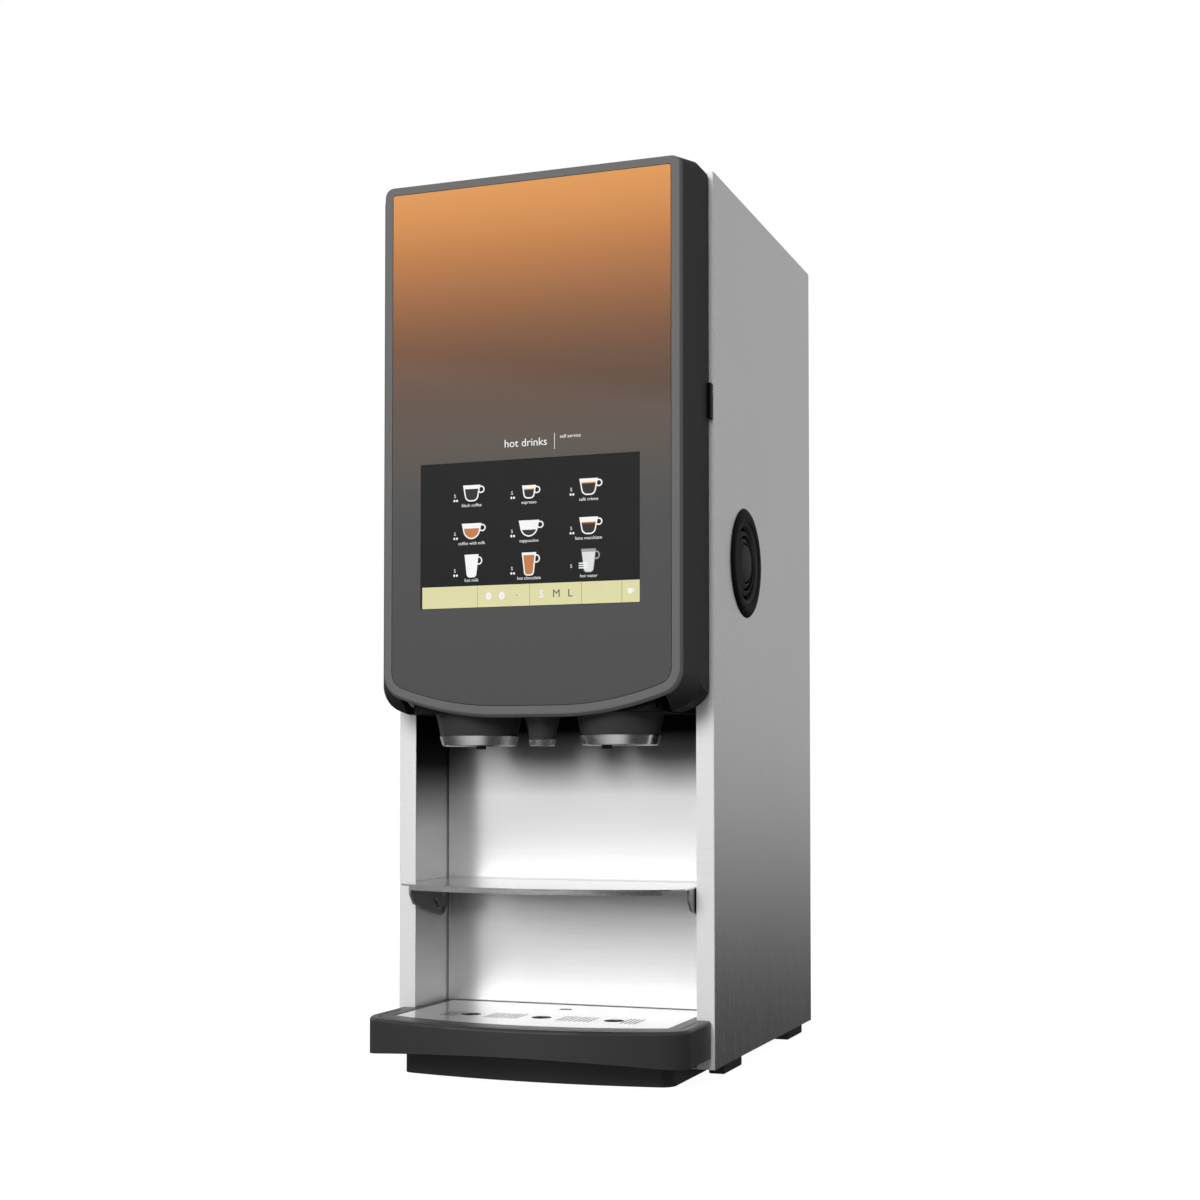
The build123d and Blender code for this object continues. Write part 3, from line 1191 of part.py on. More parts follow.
def whipper_motors():
    """The motors behind the mixer bracket, one for each bowl."""
    motors = []
    y0, y1 = BRACKET_BACK, BRACKET_BACK + WHIP_MOTOR_LENGTH
    for x in LANES.values():
        can = rod_y(y0, y1, x, MIXER_Z, WHIP_MOTOR_R)
        boss = rod_y(y1, y1 + WHIP_MOTOR_BOSS, x, MIXER_Z, WHIP_MOTOR_BOSS_R)
        bore = rod_y(y0, y0 + WHIP_BORE_DEPTH, x, MIXER_Z, WHIP_SHAFT / 2 + PIN_CLEARANCE)
        motors.append(can + boss - bore)
    return Compound(children=motors)


def hose_run(points, radius):
    """A hose along straight runs with rounded corners."""
    path = FilletPolyline(*points, radius=radius)
    start = Plane(origin=path @ 0, z_dir=path % 0)
    return sweep(start * Circle(HOSE / 2), path)


def drink_hoses():
    """The hoses from the bowls, and the hot-water hose from the mounting wall."""
    top, low = SPIGOT_Z, NICHE_TOP + HEAD_WALL
    runs = []
    for lane, x in (("left", -OUTLET_X), ("right", OUTLET_X)):
        bowl_x = LANES[lane]
        runs.append(hose_run([(bowl_x, ELBOW_Y, top), (bowl_x, ELBOW_Y, top - HOSE_DROP),
                              (x, OUTLET_Y, low + HOSE_STRAIGHT), (x, OUTLET_Y, low)], HOSE_BEND))
    level = NICHE_TOP + HEAD_HEIGHT - HOSE
    runs.append(hose_run([(0, WATER_Y, low), (0, WATER_Y, level), (0, WALL_Y, level)], WATER_HOSE_BEND))
    x = OUTLET_X - HOSE - MIDDLE_HOSE_GAP
    runs.append(hose_run([(0, ELBOW_Y, top), (0, ELBOW_Y, top - MIDDLE_HOSE_DROP),
                          (x, OUTLET_Y, low + MIDDLE_HOSE_STRAIGHT), (x, OUTLET_Y, low)],
                         MIDDLE_HOSE_BEND))
    return Compound(children=runs)


# ---------------------------------------------------------------- vent and fan
def about_vent(profile):
    """A turned piece about the vent's axis, from its (radius, x) outline."""
    outline = make_face(Polyline(*[(x, r, 0) for r, x in profile], close=True))
    return Pos(HALF, VENT_Y, VENT_Z) * revolve(outline, Axis.X)


def louvre(r):
    """One louvre ring, whose front edge leans in to a smaller circle."""
    inner, back = r - LOUVRE_WALL, -LOUVRE_BACK
    lip = r - LOUVRE_LEAN
    return about_vent([(inner, back), (r, back), (r, -1.6), (lip, 0.6), (lip - 1, 0), (inner, -2)])


def vent_cowl():
    """The vent's cover: a domed ring, two louvre rings and a domed hub on four arms."""
    r, b, c = VENT_RADIUS, VENT_BORE, VENT_CREST
    outer = b + LOUVRE_WALL
    ring = about_vent([(r, 0), (r - 2, c * 0.5), (r - 6, c * 0.9), (r - 10, c), (r - 14, c * 0.85),
                       (r - 17, c * 0.4), (b, -0.6), (b, -VENT_SPIGOT), (outer, -VENT_SPIGOT),
                       (outer, 0)])
    hub_r = VENT_HUB_R
    hub = about_vent([(0, -LOUVRE_BACK), (hub_r, -LOUVRE_BACK), (hub_r, -1), (hub_r - 1.5, 0.6),
                      (hub_r - 5.5, 2.0), (hub_r - 11.5, 2.9), (0, c)])
    middle = Pos(HALF - LOUVRE_BACK + VENT_ARM_THICK / 2, VENT_Y, VENT_Z)
    arms = [middle * Rot(a, 0, 0) * Box(VENT_ARM_THICK, 2 * b + 2, VENT_ARM) for a in (45, 135)]
    return ring + [louvre(radius) for radius in LOUVRE_R] + hub + arms


def fan_housing():
    """The fan's square frame, with the motor's seat on four struts."""
    s = FAN_SIZE / 2
    x0, x1 = FRAME_X, INNER_HALF
    back = x0 + FAN_WALL
    duct = VENT_BORE + FAN_WALL
    frame = block(x0, x1, VENT_Y - s, VENT_Y + s, VENT_Z - s, VENT_Z + s)
    frame = fillet(frame.edges().filter_by(Axis.X), FAN_CORNER)
    frame -= rod_x(x0, x1, VENT_Y, VENT_Z, duct)
    seat = rod_x(x0, back, VENT_Y, VENT_Z, FAN_SEAT_R)
    middle = Pos(x0 + FAN_WALL / 2, VENT_Y, VENT_Z)
    struts = [middle * Rot(a, 0, 0) * Box(FAN_WALL, 2 * duct + 1, FAN_STRUT) for a in (0, 90)]
    stud = rod_x(back, back + FAN_STUD_LENGTH, VENT_Y, VENT_Z, FAN_STUD_R)
    return frame + seat + struts + stud


def fan_rotor():
    """The fan's hub, bored for the stud, with pitched blades."""
    x0, x1 = FRAME_X + FAN_HUB_BACK, FRAME_X + FAN_HUB_FRONT
    hub = rod_x(x0, x1, VENT_Y, VENT_Z, FAN_HUB_R)
    hub -= rod_x(x0, FRAME_X + FAN_HUB_BORE_END, VENT_Y, VENT_Z, FAN_STUD_R + PIN_CLEARANCE)
    root, tip = FAN_HUB_R - FAN_ROOT, VENT_BORE + FAN_WALL - FAN_TIP_GAP
    blade = Rot(0, FAN_BLADE_PITCH, 0) * Box(FAN_BLADE_THICK, tip - root, FAN_BLADE_CHORD)
    blade = Pos(0, (root + tip) / 2, 0) * blade
    middle = Pos((x0 + x1) / 2, VENT_Y, VENT_Z)
    step = 360 / FAN_BLADES
    return hub + [middle * Rot(step * i, 0, 0) * blade for i in range(FAN_BLADES)]


# ---------------------------------------------------------------- water and electrics
def boiler_tank():
    """The boiler: a lagged tank with a bolted lid, heater terminals and three feet."""
    x, y, r = BOILER_X, BOILER_Y, BOILER_RADIUS
    lid_z = BOILER_Z + BOILER_HEIGHT
    tank = rod_z(BOILER_Z, lid_z, x, y, r)
    tank = fillet(tank.edges().group_by(Axis.Z)[0], BOILER_ROUND)
    lid = rod_z(lid_z, BOILER_TOP, x, y, r + BOILER_LID_LAP)
    terminals = [rod_z(BOILER_TOP, BOILER_TOP + TERMINAL_HEIGHT, x + dx, y + TERMINAL_DY, TERMINAL_R)
                 for dx in (-TERMINAL_DX, TERMINAL_DX)]
    feet = []
    foot_circle = r - BOILER_FOOT_INSET
    for angle in (90, 210, 330):
        dx = foot_circle * math.cos(math.radians(angle))
        dy = foot_circle * math.sin(math.radians(angle))
        feet.append(rod_z(DECK_TOP, BOILER_Z + 1, x + dx, y + dy, BOILER_FOOT_R))
    return tank + lid + terminals + feet


def inlet_valve():
    """The water inlet: a valve body on a bracket, with a threaded stub through the rear panel."""
    x, half = -INLET_X, INLET_VALVE_HALF
    y0 = CABINET_DEPTH - INLET_VALVE_FROM_REAR
    y1 = y0 + INLET_VALVE_DEPTH
    body = block(x - half, x + half, y0, y1, INLET_Z - half, INLET_Z + half)
    thread = rod_y(y1, REAR_FACE + INLET_THREAD_OUT, x, INLET_Z, INLET_THREAD_R)
    thread -= rod_y(y1 + INLET_BORE_START, REAR_FACE + INLET_THREAD_OUT, x, INLET_Z, INLET_BORE_R)
    bracket = block(x - INLET_BRACKET_HALF, x + INLET_BRACKET_HALF, y0, y1, FLOOR_Z, INLET_Z - half)
    return body + thread + bracket


def water_valves():
    """Three outlet valves on the boiler's lid, and the inlet valve at the back."""
    valves = []
    half = VALVE_BODY / 2
    y = BOILER_Y - VALVE_DY
    coil_z = BOILER_TOP + VALVE_BODY_HEIGHT
    for dx in (-VALVE_SPACING, 0, VALVE_SPACING):
        x = BOILER_X + dx
        body = block(x - half, x + half, y - half, y + half, BOILER_TOP, coil_z)
        valves.append(body + rod_z(coil_z, coil_z + VALVE_COIL_HEIGHT, x, y, VALVE_COIL_R))
    return Compound(children=[*valves, inlet_valve()])


def control_board():
    """The main board on posts behind the wall, midway between the drives and the wall's top."""
    y0 = WALL_BACK
    y1 = y0 + CONTROL_BOARD_POST
    y2 = y1 + BOARD_THICK
    middle = (AUGER_Z + GEARBOX_ABOVE + CABINET_HEIGHT - WALL_TOP_GAP) / 2
    z0, z1 = middle - CONTROL_BOARD_HEIGHT / 2, middle + CONTROL_BOARD_HEIGHT / 2
    half = CONTROL_BOARD_HALF
    board = block(-half, half, y1, y2, z0, z1)
    parts = [block(x, x + size, y2, y2 + height, z0 + dz, z0 + dz + size)
             for x, dz, size, height in BOARD_PARTS]
    return board + board_posts(half, y0, y1, z0, z1) + parts


def power_supply():
    """The enclosed power supply on the deck, with air slots in its top."""
    x0, x1 = SUPPLY_LEFT, SUPPLY_LEFT + SUPPLY_WIDTH
    y0 = WALL_Y + SUPPLY_BEHIND_WALL
    y1 = y0 + SUPPLY_DEPTH
    top = DECK_TOP + SUPPLY_HEIGHT
    slots = []
    for i in range(SUPPLY_SLOTS):
        x = x0 + SUPPLY_SLOT_MARGIN + i * SUPPLY_SLOT_PITCH
        slots.append(block(x, x + SUPPLY_SLOT, y0 + SUPPLY_SLOT_END, y1 - SUPPLY_SLOT_END,
                           top - SUPPLY_SLOT_DEPTH, top))
    return block(x0, x1, y0, y1, DECK_TOP, top) - slots


def socket_pins(y0, y1):
    """The three pins of the mains socket."""
    half_x, half_z = SOCKET_PIN_HALF
    return [block(INLET_X + dx - half_x, INLET_X + dx + half_x, y0, y1,
                  INLET_Z + dz - half_z, INLET_Z + dz + half_z) for dx, dz in SOCKET_PINS]


def mains_inlet():
    """The mains inlet and switch bezel, one moulding in the rear panel."""
    x, z, y1 = INLET_X, INLET_Z, REAR_FACE
    front = y1 + MODULE_RIM_THICK
    half_x, half_z = MODULE_HALF_WIDTH - FIT_GAP, MODULE_HALF_HEIGHT - FIT_GAP
    body = block(x - half_x, x + half_x, CABINET_DEPTH - MODULE_DEPTH, y1, z - half_z, z + half_z)
    half_x, half_z = MODULE_HALF_WIDTH + MODULE_RIM, MODULE_HALF_HEIGHT + MODULE_RIM
    rim = block(x - half_x, x + half_x, y1, front, z - half_z, z + half_z)
    socket = block(x - SOCKET_HALF_WIDTH, x + SOCKET_HALF_WIDTH, y1 - SOCKET_DEPTH, front,
                   z - SOCKET_LOW, z - SOCKET_HIGH)
    pins = socket_pins(y1 - SOCKET_DEPTH, y1 - SOCKET_PIN_SETBACK)
    half_x, half_z = ROCKER_WIDTH / 2 + ROCKER_SIDE_GAP, ROCKER_HEIGHT / 2 + ROCKER_END_GAP
    well = block(x - half_x, x + half_x, y1 - ROCKER_WELL, front, ROCKER_Z - half_z, ROCKER_Z + half_z)
    axle = rod_x(x - half_x, x + half_x, y1 - ROCKER_AXLE_DEPTH, ROCKER_Z, ROCKER_AXLE_R)
    return body + rim - socket + pins - well + axle


def power_rocker():
    """The rocker of the power switch, on its axle."""
    x, z, w, h = INLET_X, ROCKER_Z, ROCKER_WIDTH / 2, ROCKER_HEIGHT / 2
    back = REAR_FACE - ROCKER_BACK
    relief = back + ROCKER_RELIEF
    key = block(x - w, x + w, back, REAR_FACE + ROCKER_PROUD, z - h, z + h)
    key -= block(x - w, x + w, back, relief, z + ROCKER_KEEL, z + h)
    key -= block(x - w, x + w, back, relief, z - h, z - ROCKER_KEEL)
    return key - rod_x(x - w, x + w, REAR_FACE - ROCKER_AXLE_DEPTH, z, ROCKER_AXLE_R + PIN_CLEARANCE)


# ---------------------------------------------------------------- build
def build():
    nodes = {
        "side_panel_left": mirrored(side_panel()),
        "side_panel_right": side_panel_right(),
        "top_cover": top_cover(),
        "rear_panel": rear_panel(),
        "screws": screws(),
        "base_pan": base_pan(),
        "rubber_feet": rubber_feet(),
        "plinth": plinth(),
        "niche_liner": niche_liner(),
        "drip_tray": drip_tray(),
        "tray_grate": tray_grate(),
        "tray_float": tray_float(),
        "cup_shelf": cup_shelf(),
        "shelf_ears": shelf_ears(),
        "shelf_pins": shelf_pins(),
        "dispense_head": dispense_head(),
        "drink_outlet_left": drink_outlet(-OUTLET_X, TIP_LEFT_DX),
        "drink_outlet_right": drink_outlet(OUTLET_X, TIP_RIGHT_DX),
        "hot_water_nozzle": hot_water_nozzle(),
        "nozzle_rings": nozzle_rings(),
        "door_shell": door_shell(),
        "front_film": front_film(),
        "touch_display": touch_display(),
        "display_board": display_board(),
        "door_inner_cover": door_inner_cover(),
        "door_catch": door_catch(),
        "hinge_bracket_top": hinge_bracket(HINGE_TOP_Z),
        "hinge_bracket_bottom": hinge_bracket(HINGE_BOTTOM_Z),
        "chassis_deck": chassis_deck(),
        "mounting_wall": mounting_wall(),
        "canister_shelf": canister_shelf(),
        "mixer_bracket": mixer_bracket(),
        "canister_lids": canister_lids(),
        "auger_motors": auger_motors(),
        "whipper_motors": whipper_motors(),
        "drink_hoses": drink_hoses(),
        "vent_cowl": vent_cowl(),
        "fan_housing": fan_housing(),
        "fan_rotor": fan_rotor(),
        "boiler_tank": boiler_tank(),
        "water_valves": water_valves(),
        "control_board": control_board(),
        "power_supply": power_supply(),
        "mains_inlet": mains_inlet(),
        "power_rocker": power_rocker(),
    }
    for lane, x in LANES.items():
        nodes[f"canister_{lane}"] = canister(x)
        nodes[f"canister_elbow_{lane}"] = canister_elbow(x)
        nodes[f"auger_{lane}"] = auger(x)
        nodes[f"mixing_bowl_{lane}"] = mixing_bowl(x)
        nodes[f"impeller_{lane}"] = impeller(x)
    return nodes


os.makedirs("parts", exist_ok=True)
for node_name, node_shape in build().items():
    export_node(node_name, node_shape)
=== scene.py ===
# %% [markdown]
# # A table-top coffee machine
# The cabinet, door, tray and every moving part come from the CAD model, loaded as a fixed frame.
# This file gives each part its finish, prints the door and the screen, and lights the whole thing
# like a studio product shot.  Everything is in metres, Z up, front to -Y.

# %% Load the frame
import math

import bmesh
import bpy
from mathutils import Matrix, Vector


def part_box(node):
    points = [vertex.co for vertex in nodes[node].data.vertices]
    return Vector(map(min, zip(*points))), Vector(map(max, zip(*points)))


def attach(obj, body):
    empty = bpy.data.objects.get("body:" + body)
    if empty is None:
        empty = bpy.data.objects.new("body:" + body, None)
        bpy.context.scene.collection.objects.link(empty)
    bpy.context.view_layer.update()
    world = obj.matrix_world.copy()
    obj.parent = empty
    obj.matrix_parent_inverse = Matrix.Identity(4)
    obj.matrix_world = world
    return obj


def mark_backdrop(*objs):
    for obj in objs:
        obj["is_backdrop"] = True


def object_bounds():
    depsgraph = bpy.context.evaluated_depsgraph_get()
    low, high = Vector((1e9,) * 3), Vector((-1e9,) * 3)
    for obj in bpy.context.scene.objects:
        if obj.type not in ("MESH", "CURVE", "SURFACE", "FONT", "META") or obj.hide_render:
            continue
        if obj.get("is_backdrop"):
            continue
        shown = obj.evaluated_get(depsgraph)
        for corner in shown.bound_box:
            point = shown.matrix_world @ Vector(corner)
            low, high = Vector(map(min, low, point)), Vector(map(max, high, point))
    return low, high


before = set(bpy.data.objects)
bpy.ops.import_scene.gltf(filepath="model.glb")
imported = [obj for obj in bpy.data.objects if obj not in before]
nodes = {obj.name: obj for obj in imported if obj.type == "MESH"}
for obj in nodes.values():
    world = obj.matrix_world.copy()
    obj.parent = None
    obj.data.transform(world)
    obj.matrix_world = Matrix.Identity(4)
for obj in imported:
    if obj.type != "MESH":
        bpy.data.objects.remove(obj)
cad_box = [list(corner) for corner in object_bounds()]
MM = 0.001

# %% [markdown]
# ## Camera
# A product camera stands low and to the right, close to level, so that the machine's uprights
# stay upright.  The rest of the framing comes from a small lens shift, as with a view camera.

# %% Camera
camera_data = bpy.data.cameras.new("camera")
camera_data.sensor_width = 36.0
camera_data.lens = 55.53
camera_data.shift_y = 0.10
camera_data.clip_start = 0.05
camera_data.clip_end = 60.0
camera = bpy.data.objects.new("camera", camera_data)
camera.location = (0.67197, -1.85008, 0.29058)
camera.rotation_euler = (math.radians(90 + 1.80), 0, math.radians(19.94))
bpy.context.scene.collection.objects.link(camera)
bpy.context.scene.camera = camera
print("camera at", [round(v, 3) for v in camera.location])

# %% [markdown]
# ## Floor
# The floor is a plain white sheet.  It is bright enough to melt into the white surroundings, and it
# is left out of reflections, as a light table would be, so that the steel can fall off towards the
# bottom.

# %% Floor
bpy.context.scene.view_settings.view_transform = "Standard"
FLOOR_GREY = (0.22, 0.22, 0.22)
FLOOR_GLOW = 0.10    # what everything receives from the floor
FLOOR_SEEN = 0.86    # what the camera sees on top of that


def studio_floor():
    mesh = bpy.data.meshes.new("floor")
    shape = bmesh.new()
    bmesh.ops.create_grid(shape, x_segments=1, y_segments=1, size=14)
    shape.to_mesh(mesh)
    shape.free()
    floor = bpy.data.objects.new("floor", mesh)
    floor.location.z = -0.0004
    bpy.context.scene.collection.objects.link(floor)
    floor.visible_glossy = False
    made = bpy.data.materials.new("floor_white")
    made.use_nodes = True
    tree = made.node_tree
    shader = tree.nodes["Principled BSDF"]
    shader.inputs["Base Color"].default_value = (*FLOOR_GREY, 1)
    shader.inputs["Roughness"].default_value = 0.9
    shader.inputs["Specular IOR Level"].default_value = 0.1
    shader.inputs["Emission Color"].default_value = (1, 1, 1, 1)
    seen = tree.nodes.new("ShaderNodeLightPath")
    glow = tree.nodes.new("ShaderNodeMath")
    glow.operation = "MULTIPLY_ADD"
    glow.inputs[1].default_value = FLOOR_SEEN
    glow.inputs[2].default_value = FLOOR_GLOW
    tree.links.new(seen.outputs["Is Camera Ray"], glow.inputs[0])
    tree.links.new(glow.outputs[0], shader.inputs["Emission Strength"])
    mesh.materials.append(made)
    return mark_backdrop(floor)


studio_floor()

# %% [markdown]
# ## Light
# Two soft boxes light the plastics: a key in front, high up, and one behind that lifts the edges.
# Steel shows what stands around it instead, so its light is drawn on the surroundings: a lit room,
# a bright card at front left, a table card below it and a dark corner at front right.  The boxes
# are kept out of reflections, because two bright squares in brushed sheet would burn out.

# %% Light


def soft_box(name, place, aim, size, power):
    """A square soft box at a place, turned to face a point."""
    data = bpy.data.lights.new(name, "AREA")
    data.shape = "RECTANGLE"
    data.size = size
    data.size_y = size
    data.energy = power
    lamp = bpy.data.objects.new(name, data)
    lamp.location = place
    lamp.rotation_euler = (Vector(aim) - Vector(place)).to_track_quat("-Z", "Y").to_euler()
    bpy.context.scene.collection.objects.link(lamp)
    lamp.visible_glossy = False
    return lamp


def surroundings():
    """White to the camera; cards and dark corners for reflections; an even grey for the rest."""
    world = bpy.data.worlds.new("surroundings")
    world.use_nodes = True
    bpy.context.scene.world = world
    tree = world.node_tree
    tree.nodes.clear()

    def add(kind, inputs, operation=None):
        made = tree.nodes.new(kind)
        if operation:
            made.operation = operation
        for key, value in inputs.items():
            if isinstance(value, bpy.types.NodeSocket):
                tree.links.new(value, made.inputs[key])
            else:
                made.inputs[key].default_value = value
        return made

    def fade(value, low, high, bottom=0.0, top=1.0):
        inputs = {"Value": value, "From Min": low, "From Max": high,
                  "To Min": bottom, "To Max": top}
        made = add("ShaderNodeMapRange", inputs)
        made.interpolation_type = "SMOOTHSTEP"
        return made.outputs["Result"]

    def towards(*direction):
        pair = {0: way, 1: Vector(direction).normalized()}
        return add("ShaderNodeVectorMath", pair, "DOT_PRODUCT").outputs["Value"]

    def times(a, b):
        return add("ShaderNodeMath", {0: a, 1: b}, "MULTIPLY").outputs[0]

    way = add("ShaderNodeTexCoord", {}).outputs["Generated"]
    up = add("ShaderNodeSeparateXYZ", {0: way}).outputs["Z"]
    room = fade(up, *ROOM_EDGE, ROOM_LOW, ROOM_HIGH)
    corner = fade(towards(*DARK_CORNER), *DARK_CORNER_EDGE)
    side = fade(towards(*FRONT_CARD), *FRONT_CARD_EDGE)
    lit = fade(up, *FRONT_CARD_FOOT, FRONT_CARD_BELOW, FRONT_CARD_LEVEL)
    card = times(lit, fade(up, *FRONT_CARD_TOP, 1.0, FRONT_CARD_BELOW))
    outside = times(room, add("ShaderNodeMath", {0: 1.0, 1: corner}, "SUBTRACT").outputs[0])
    inside = fade(up, *DARK_CORNER_FOOT, DARK_CORNER_LOW, DARK_CORNER_HIGH)
    shade = add("ShaderNodeMath", {0: corner, 1: inside, 2: outside}, "MULTIPLY_ADD").outputs[0]
    rest = times(shade, add("ShaderNodeMath", {0: 1.0, 1: side}, "SUBTRACT").outputs[0])
    table_side = fade(towards(*FRONT_CARD), *TABLE_CARD_SIDE)
    table = times(table_side, fade(up, *TABLE_CARD_EDGE, TABLE_CARD_LEVEL, 0.0))
    lower = add("ShaderNodeMath", {0: rest, 1: table}, "ADD").outputs[0]
    glow = add("ShaderNodeMath", {0: side, 1: card, 2: lower}, "MULTIPLY_ADD").outputs[0]
    seen = add("ShaderNodeLightPath", {})
    white = {"Color": (1, 1, 1, 1)}
    mirrored = add("ShaderNodeBackground", {**white, "Strength": glow}).outputs[0]
    even = add("ShaderNodeBackground", {**white, "Strength": EVEN_LEVEL}).outputs[0]
    backdrop = add("ShaderNodeBackground", {**white, "Strength": 1.0}).outputs[0]
    by_ray = {0: seen.outputs["Is Glossy Ray"], 1: even, 2: mirrored}
    unseen = add("ShaderNodeMixShader", by_ray).outputs[0]
    by_camera = {0: seen.outputs["Is Camera Ray"], 1: unseen, 2: backdrop}
    shown = add("ShaderNodeMixShader", by_camera).outputs[0]
    add("ShaderNodeOutputWorld", {"Surface": shown})


# what polished and brushed parts see around them; an edge is where a patch fades out and in
ROOM_EDGE = (-0.14, 0.03)
ROOM_LOW = 0.05
ROOM_HIGH = 0.50
TABLE_CARD_SIDE = (0.2, 0.7)
TABLE_CARD_EDGE = (-0.62, -0.40)
TABLE_CARD_LEVEL = 1.1
FRONT_CARD = (-0.34, -0.94, 0.0)
FRONT_CARD_EDGE = (0.83, 0.96)
FRONT_CARD_FOOT = (0.02, 0.13)
FRONT_CARD_TOP = (0.30, 0.46)
FRONT_CARD_BELOW = 0.10
FRONT_CARD_LEVEL = 2.75
DARK_CORNER = (0.45, -0.90, 0.0)
DARK_CORNER_EDGE = (0.80, 0.97)
DARK_CORNER_FOOT = (0.02, 0.22)
DARK_CORNER_LOW = 0.04
DARK_CORNER_HIGH = 0.62
EVEN_LEVEL = 0.13
# each soft box: place in metres, size in metres, power in watts
KEY_PLACE, KEY_SIZE, KEY_POWER = (-0.10, -2.8, 1.6), 1.4, 66
BACK_PLACE, BACK_SIZE, BACK_POWER = (-0.9, 2.6, 1.9), 1.6, 45

surroundings()
middle = (Vector(cad_box[0]) + Vector(cad_box[1])) / 2
soft_box("key", KEY_PLACE, middle, KEY_SIZE, KEY_POWER)
soft_box("back", BACK_PLACE, middle, BACK_SIZE, BACK_POWER)

# %% [markdown]
# ## Shader maths
# Node trees read better as sums.  `Wire` wraps one output socket and turns `+`, `*` and friends
# into Math nodes, and `Paint` holds one material and adds any other node from its type, its
# settings and the values or wires that go into it.

# %% Shader helpers


class Wire:
    """A number in a node tree."""

    def __init__(self, paint, socket):
        self.paint = paint
        self.socket = socket

    def maths(self, operation, *others):
        made = self.paint.node("ShaderNodeMath", {"operation": operation}, {0: self})
        for i, other in enumerate(others, 1):
            self.paint.plug(made.inputs[i], other)
        return Wire(self.paint, made.outputs[0])

    def __add__(self, other):
        return self.maths("ADD", other)

    def __sub__(self, other):
        return self.maths("SUBTRACT", other)

    def __mul__(self, other):
        return self.maths("MULTIPLY", other)

    def __truediv__(self, other):
        return self.maths("DIVIDE", other)

    def __rsub__(self, other):
        return (self * -1.0) + other

    def __rtruediv__(self, other):
        return self.maths("POWER", -1.0) * other

    __radd__ = __add__
    __rmul__ = __mul__

    def clamp(self):
        return self.maths("MINIMUM", 1.0).maths("MAXIMUM", 0.0)


class Paint:
    """One material: its Principled shader and the nodes that feed it."""

    def __init__(self, name, colour=(0.5, 0.5, 0.5), rough=0.5, metal=0.0, **sockets):
        self.material = bpy.data.materials.new(name)
        self.material.use_nodes = True
        self.tree = self.material.node_tree
        self.shader = self.tree.nodes["Principled BSDF"]
        self.shader.inputs["Base Color"].default_value = (*colour, 1)
        self.shader.inputs["Roughness"].default_value = rough
        self.shader.inputs["Metallic"].default_value = metal
        for key, value in sockets.items():
            self.shader.inputs[key.replace("_", " ")].default_value = value

    def plug(self, socket, value):
        if isinstance(value, Wire):
            self.tree.links.new(value.socket, socket)
        elif isinstance(value, bpy.types.NodeSocket):
            self.tree.links.new(value, socket)
        else:
            socket.default_value = value

    def node(self, kind, settings=None, inputs=None):
        made = self.tree.nodes.new(kind)
        for key, value in (settings or {}).items():
            setattr(made, key, value)
        for key, value in (inputs or {}).items():
            self.plug(made.inputs[key], value)
        return made

    def place(self, scale=(1, 1, 1), offset=(0, 0, 0)):
        """Object coordinates, stretched for a grain and moved to a pattern's own middle."""
        where = self.node("ShaderNodeTexCoord").outputs["Object"]
        mapped = self.node("ShaderNodeMapping", None, {"Vector": where, "Scale": scale})
        mapped.inputs["Location"].default_value = offset
        return mapped.outputs[0]

    def axis(self, letter):
        where = self.node("ShaderNodeTexCoord").outputs["Object"]
        split = self.node("ShaderNodeSeparateXYZ", None, {0: where})
        return Wire(self, split.outputs[letter])

    def noise(self, scale, stretch=(1, 1, 1), detail=3.0, rough=0.5, offset=(0, 0, 0)):
        inputs = {"Vector": self.place(stretch, offset), "Scale": scale,
                  "Detail": detail, "Roughness": rough}
        return Wire(self, self.node("ShaderNodeTexNoise", None, inputs).outputs["Fac"])

    def ramp(self, value, *stops):
        """A colour ramp from (position, colour) stops."""
        made = self.node("ShaderNodeValToRGB")
        elements = made.color_ramp.elements
        while len(elements) < len(stops):
            elements.new(0.5)
        for element, (position, colour) in zip(elements, stops):
            element.position = position
            element.color = (*colour, 1)
        self.plug(made.inputs[0], value)
        return made.outputs[0]

    def mix(self, fac, a, b):
        made = self.node("ShaderNodeMix", {"data_type": "RGBA"})
        self.plug(made.inputs[0], fac)
        self.plug(made.inputs[6], a if not isinstance(a, tuple) else (*a, 1))
        self.plug(made.inputs[7], b if not isinstance(b, tuple) else (*b, 1))
        return made.outputs[2]

    def colour(self, socket):
        self.plug(self.shader.inputs["Base Color"], socket)
        return self

    def rough(self, value):
        self.plug(self.shader.inputs["Roughness"], value)
        return self

    def bump(self, height, distance, strength=1.0):
        inputs = {"Height": height, "Distance": distance, "Strength": strength}
        made = self.node("ShaderNodeBump", None, inputs)
        self.plug(self.shader.inputs["Normal"], made.outputs[0])
        return self


def srgb(r, g, b):
    """A colour from its 0-255 screen values."""
    def linear(c):
        c = c / 255
        return c / 12.92 if c <= 0.04045 else ((c + 0.055) / 1.055) ** 2.4
    return linear(r), linear(g), linear(b)


def finish_node(paint, *names):
    """Put a finish on CAD nodes through their material slots."""
    for name in names:
        for material_slot in nodes[name].material_slots:
            material_slot.material = paint.material
